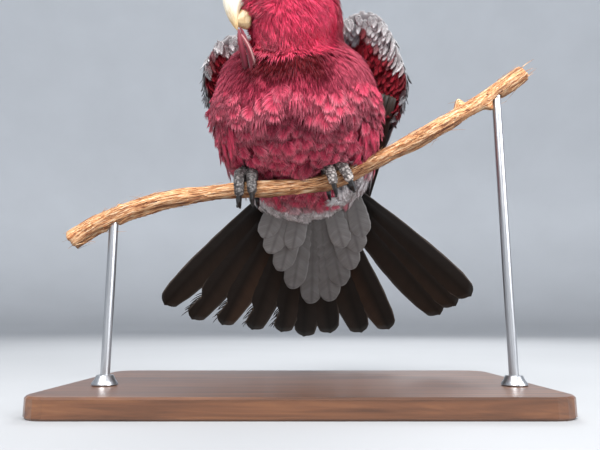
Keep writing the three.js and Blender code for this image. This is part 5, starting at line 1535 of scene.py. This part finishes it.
# ------------------------------------------------------------- branch and stand
m_wood, t, p_ = material("branch_wood")
tc = t.nodes.new("ShaderNodeTexCoord")
uvn = node(t, "ShaderNodeUVMap")
uvn.uv_map = "grain"
mp = t.nodes.new("ShaderNodeMapping")
mp.inputs["Scale"].default_value = (1.3, 0.11, 1)
link(t, uvn.outputs["UV"], mp.inputs["Vector"])
n1 = node(t, "ShaderNodeTexNoise", Scale=1.0, Detail=6.0, Roughness=0.62)
link(t, mp.outputs["Vector"], n1.inputs["Vector"])
mp2 = t.nodes.new("ShaderNodeMapping")
mp2.inputs["Scale"].default_value = (0.28, 0.022, 1)
link(t, uvn.outputs["UV"], mp2.inputs["Vector"])
n2 = node(t, "ShaderNodeTexNoise", Scale=1.0, Detail=4.0, Roughness=0.6)
link(t, mp2.outputs["Vector"], n2.inputs["Vector"])
col = t.nodes.new("ShaderNodeVertexColor")
col.layer_name = "tint"
base = ramp(t, n1.outputs["Fac"], [(0.33, tuple(srgb(84, 42, 22))), (0.43, tuple(srgb(174, 108, 62))), (0.53, tuple(srgb(238, 182, 130))), (0.64, tuple(srgb(255, 232, 200)))])
base = mix(t, "MULTIPLY", 1.0, base, ramp(t, n2.outputs["Fac"], [(0.38, (0.42, 0.30, 0.22)), (0.50, (1, 1, 1))]))
link(t, mix(t, "MULTIPLY", 1.0, base, col.outputs["Color"]), p_.inputs["Base Color"])
p_.inputs["Roughness"].default_value = 0.72
bp = node(t, "ShaderNodeBump", Strength=1.0, Distance=0.0014)
link(t, n1.outputs["Fac"], bp.inputs["Height"])
link(t, bp.outputs["Normal"], p_.inputs["Normal"])
v, f = refined(["perch_branch"], 1.0, 4)
ROUTE = np.array([[-147, -3, -38], [-130.9, -2, -26.6], [-109.7, -1, -17.2], [-88.3, 0, -11], [-66.5, 0, -7.1], [-44.9, 0, -3.8], [-25.9, 0, -3], [-8.3, 0, -1.9],
                  [9.5, 0, -0.2], [25.2, 0, 3.9], [48.7, 0, 15.2], [71.2, -1, 27.4], [93.9, -2, 39.8], [117, -3, 53.3], [140.5, -4, 69.5], [151, -5, 77]], float) + A(0, 0, H)
fine_route = np.array([[np.interp(k, np.arange(16), ROUTE[:, a]) for a in range(3)] for k in np.linspace(0, 15, 240)])
d2 = ((v[:, None, [0, 2]] - fine_route[None, :, [0, 2]]) ** 2).sum(2)
i = d2.argmin(1)
run = np.concatenate([[0], np.cumsum(np.linalg.norm(np.diff(fine_route, axis=0), axis=1))])
tang = unit(np.gradient(fine_route, axis=0))[i]
rel = v - fine_route[i]
s_ = run[i] + dot(rel, tang)
ang = np.arctan2(rel[:, 1], rel[:, 2])
nrm = vertex_normals(v, triangles(f))
groove = waves(41, 3.0)
g1 = groove(np.stack([s_ * 0.12, ang * 5, ang * 0], -1))
g2 = groove(np.stack([s_ * 0.05, ang * 11, ang * 0 + 7], -1))
g3 = waves(43, 14.0)(np.stack([s_, ang * 3, ang * 0], -1))
v = v + nrm * (0.50 * g1 + 0.42 * g2 + 0.45 * g3)[:, None]
# painted shade: the branch is darkened on its underside
underside_shade = smooth(0.1, -0.7, nrm[:, 2])[:, None]
tint_ = A(1, 1, 1) * (1 - 0.42 * underside_shade) * A(1, 0.97, 0.93)
dark_end = smooth(90, 20, s_)[:, None]
tint_ = tint_ * (1 - 0.16 * dark_end)
t_, u_ = box_uv(v, f)
build("perch_wood_grain", v, t_, m_wood, tint_, u_, uvs={"grain": np.stack([ang * 6.0, s_], -1)}, replaces=["perch_branch"])

# loose bark fibres
r = np.random.default_rng(77)
V, F, o = [], [], 0
tri = triangles(f)
for k in range(230):
    j = int(r.integers(0, len(v)))
    if abs(v[j, 0] + 35) < 16 or abs(v[j, 0] - 25) < 16:
        continue
    ln = r.uniform(4, 15)
    dirn = unit(tang[j] * (1 if r.random() < 0.7 else -1) + nrm[j] * r.uniform(0.03, 0.22) + 0.1 * r.normal(size=3))
    sidev = unit(np.cross(dirn, nrm[j]))
    ss = np.linspace(0, 1, 6)
    path = v[j] + nrm[j] * 0.05 + dirn * (ln * ss)[:, None] + nrm[j] * (0.8 * r.normal() * ss ** 2)[:, None] + sidev * (1.2 * r.normal() * ss ** 2)[:, None]
    for a in range(6):
        w = 0.32 * (1 - 0.75 * ss[a])
        V += [path[a] + sidev * w, path[a] + nrm[j] * w * 0.6, path[a] - sidev * w]
    F.append((o, o + 2, o + 1))
    for a in range(5):
        for b in range(3):
            c_ = (b + 1) % 3
            x0, x1, y0, y1 = o + 3 * a + b, o + 3 * a + c_, o + 3 * a + 3 + b, o + 3 * a + 3 + c_
            F += [(x0, x1, y1), (x0, y1, y0)]
    F.append((o + 15, o + 16, o + 17))
    o += 18
fib = np.array(V)
build("bark_fibres", fib, np.array(F), m_wood, np.repeat(A(1, 0.92, 0.82)[None], len(fib), 0), np.stack([(fib[:, 0] + 160) / 330, (fib[:, 2]) / 330], -1),
      uvs={"grain": np.stack([fib[:, 1], fib[:, 0]], -1)})

m_base, t, p_ = material("base_board")
tc = t.nodes.new("ShaderNodeTexCoord")
mp = t.nodes.new("ShaderNodeMapping")
mp.inputs["Scale"].default_value = (9, 150, 150)
link(t, tc.outputs["Object"], mp.inputs["Vector"])
n1 = node(t, "ShaderNodeTexNoise", Scale=1.0, Detail=6.0, Roughness=0.6)
n1.inputs["Distortion"].default_value = 0.6
link(t, mp.outputs["Vector"], n1.inputs["Vector"])
link(t, ramp(t, n1.outputs["Fac"], [(0.3, tuple(srgb(62, 38, 24))), (0.52, tuple(srgb(98, 62, 40))), (0.72, tuple(srgb(126, 84, 54)))]), p_.inputs["Base Color"])
p_.inputs["Roughness"].default_value = 0.36
p_.inputs["Coat Weight"].default_value = 0.25
p_.inputs["Coat Roughness"].default_value = 0.2
bp = node(t, "ShaderNodeBump", Strength=0.15, Distance=0.0004)
link(t, n1.outputs["Fac"], bp.inputs["Height"])
link(t, bp.outputs["Normal"], p_.inputs["Normal"])
m_rod, t, p_ = material("rod_steel")
tc = t.nodes.new("ShaderNodeTexCoord")
mp = t.nodes.new("ShaderNodeMapping")
mp.inputs["Scale"].default_value = (1800, 1800, 30)
link(t, tc.outputs["Object"], mp.inputs["Vector"])
n1 = node(t, "ShaderNodeTexNoise", Scale=1.0, Detail=3.0)
link(t, mp.outputs["Vector"], n1.inputs["Vector"])
link(t, ramp(t, n1.outputs["Fac"], [(0.3, (0.42, 0.43, 0.45)), (0.7, (0.62, 0.63, 0.65))]), p_.inputs["Base Color"])
p_.inputs["Metallic"].default_value = 1.0
p_.inputs["Roughness"].default_value = 0.33


for nme in ("stand_base",):
    o = NODES[nme]
    o.data.materials.clear()
    o.data.materials.append(m_base)
for s, x in (("left", 132.0), ("right", -121.0)):
    lo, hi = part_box(f"stand_rod_{s}")
    clo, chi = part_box(f"stand_collar_{s}")
    cx, cy = (lo[0] + hi[0]) * 500, (lo[1] + hi[1]) * 500
    for nme, prof in ((f"stand_rod_{s}", [(0, lo[2] * 1000 + 0.02), (2.6, lo[2] * 1000 + 0.02), (2.95, lo[2] * 1000 + 0.4), (2.95, hi[2] * 1000 - 1.0), (2.2, hi[2] * 1000 - 0.1), (0, hi[2] * 1000 - 0.1)]),
                      (f"stand_collar_{s}", [(3.2, clo[2] * 1000), (7.7, clo[2] * 1000), (7.95, clo[2] * 1000 + 0.35), (7.8, clo[2] * 1000 + 1.3), (6.2, clo[2] * 1000 + 3.4), (5.4, clo[2] * 1000 + 5.4), (4.9, clo[2] * 1000 + 5.95), (3.2, clo[2] * 1000 + 5.95)])):
        k = 40
        th = np.linspace(0, 2 * np.pi, k, endpoint=False)
        V = np.concatenate([np.stack([cx + r_ * np.cos(th), cy + r_ * np.sin(th), np.full(k, z_)], -1) for r_, z_ in prof])
        F = []
        rows = len(prof)
        closed = nme.startswith("stand_collar")
        for a in range(rows if closed else rows - 1):
            b = (a + 1) % rows
            i0 = a * k + np.arange(k)
            i1 = a * k + (np.arange(k) + 1) % k
            j0, j1 = b * k + np.arange(k), b * k + (np.arange(k) + 1) % k
            F.append(np.stack([i0, i1, j1, j0], -1))
        F = np.concatenate(F)
        t_, u_ = box_uv(V, F)
        ob = build(nme.replace("stand_", "stand_turned_"), V, t_, m_rod, None, u_, replaces=[nme])
        ob.data.polygons.foreach_set("use_smooth", np.ones(len(ob.data.polygons), bool))
        ob.data.set_sharp_from_angle(angle=math.radians(35))

# ------------------------------------------------------- floor, light and camera
m_floor, t, p_ = material("floor")
tc = t.nodes.new("ShaderNodeTexCoord")
ln_ = node(t, "ShaderNodeVectorMath", operation="LENGTH")
link(t, tc.outputs["Object"], ln_.inputs[0])
n1 = node(t, "ShaderNodeTexNoise", Scale=3.0, Detail=3.0)
link(t, tc.outputs["Object"], n1.inputs["Vector"])
far = node(t, "ShaderNodeMapRange")
far.inputs["From Min"].default_value, far.inputs["From Max"].default_value = 0.5, 4.2
link(t, ln_.outputs["Value"], far.inputs["Value"])
paint = ramp(t, far.outputs["Result"], [(0.0, (0.40, 0.41, 0.425)), (0.72, (0.40, 0.41, 0.43)), (1.0, (0.70, 0.72, 0.75))])
link(t, mix(t, "MULTIPLY", 1.0, paint, ramp(t, n1.outputs["Fac"], [(0.3, (0.95, 0.95, 0.95)), (0.7, (1, 1, 1))])), p_.inputs["Base Color"])
p_.inputs["Roughness"].default_value = 0.8
prof = [(0.0, 0.0), (0.8, 0.0), (1.8, 0.0), (2.8, 0.0)] + [(2.8 + 1.5 * math.sin(a), 1.5 - 1.5 * math.cos(a)) for a in np.linspace(0, math.pi / 2, 13)[1:]] + [(4.3, 3.8)]
K = 72
V = [(r_ * math.cos(2 * math.pi * k / K), r_ * math.sin(2 * math.pi * k / K), z_) for r_, z_ in prof[1:] for k in range(K)] + [(0, 0, 0)]
F = [(i * K + k, i * K + (k + 1) % K, (i + 1) * K + (k + 1) % K, (i + 1) * K + k) for i in range(len(prof) - 2) for k in range(K)]
F = [f_[::-1] for f_ in F] + [(len(V) - 1, k, (k + 1) % K) for k in range(K)]
me = bpy.data.meshes.new("floor")
me.from_pydata(V, [], F)
me.polygons.foreach_set("use_smooth", np.ones(len(F), bool))
me.materials.append(m_floor)
floor = bpy.data.objects.new("floor", me)
bpy.context.scene.collection.objects.link(floor)
floor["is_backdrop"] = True


def area(name, at, to, size, power, colour=(1, 1, 1)):
    d = bpy.data.lights.new(name, "AREA")
    d.shape, d.size, d.energy, d.color = "DISK", size, power, colour
    o = bpy.data.objects.new(name, d)
    o.location = at
    o.rotation_euler = (Vector(to) - Vector(at)).to_track_quat("-Z", "Y").to_euler()
    bpy.context.scene.collection.objects.link(o)


area("key", (-0.30, -1.1, 1.2), (0, 0, 0.17), 0.9, 38, (1, 0.985, 0.97))
area("fill", (1.2, -0.9, 0.7), (0, 0, 0.15), 1.1, 22, (0.98, 0.99, 1))
area("back", (0.3, 1.2, 1.2), (0, 0, 0.15), 0.9, 14)
w = bpy.data.worlds.new("studio")
w.use_nodes = True
w.node_tree.nodes["Background"].inputs["Color"].default_value = (0.86, 0.90, 0.95, 1)
w.node_tree.nodes["Background"].inputs["Strength"].default_value = 1.0
bpy.context.scene.world = w

cam = bpy.data.cameras.new("camera")
cam.lens, cam.sensor_width, cam.sensor_fit = 33.6, 36, "HORIZONTAL"
cam.clip_start = 0.01
co = bpy.data.objects.new("camera", cam)
co.location = (0, -0.360, 0.0495)
co.rotation_euler = (math.radians(100), 0, 0)
bpy.context.scene.collection.objects.link(co)
bpy.context.scene.camera = co
bpy.context.scene.view_settings.view_transform = "Standard"

lo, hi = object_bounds()
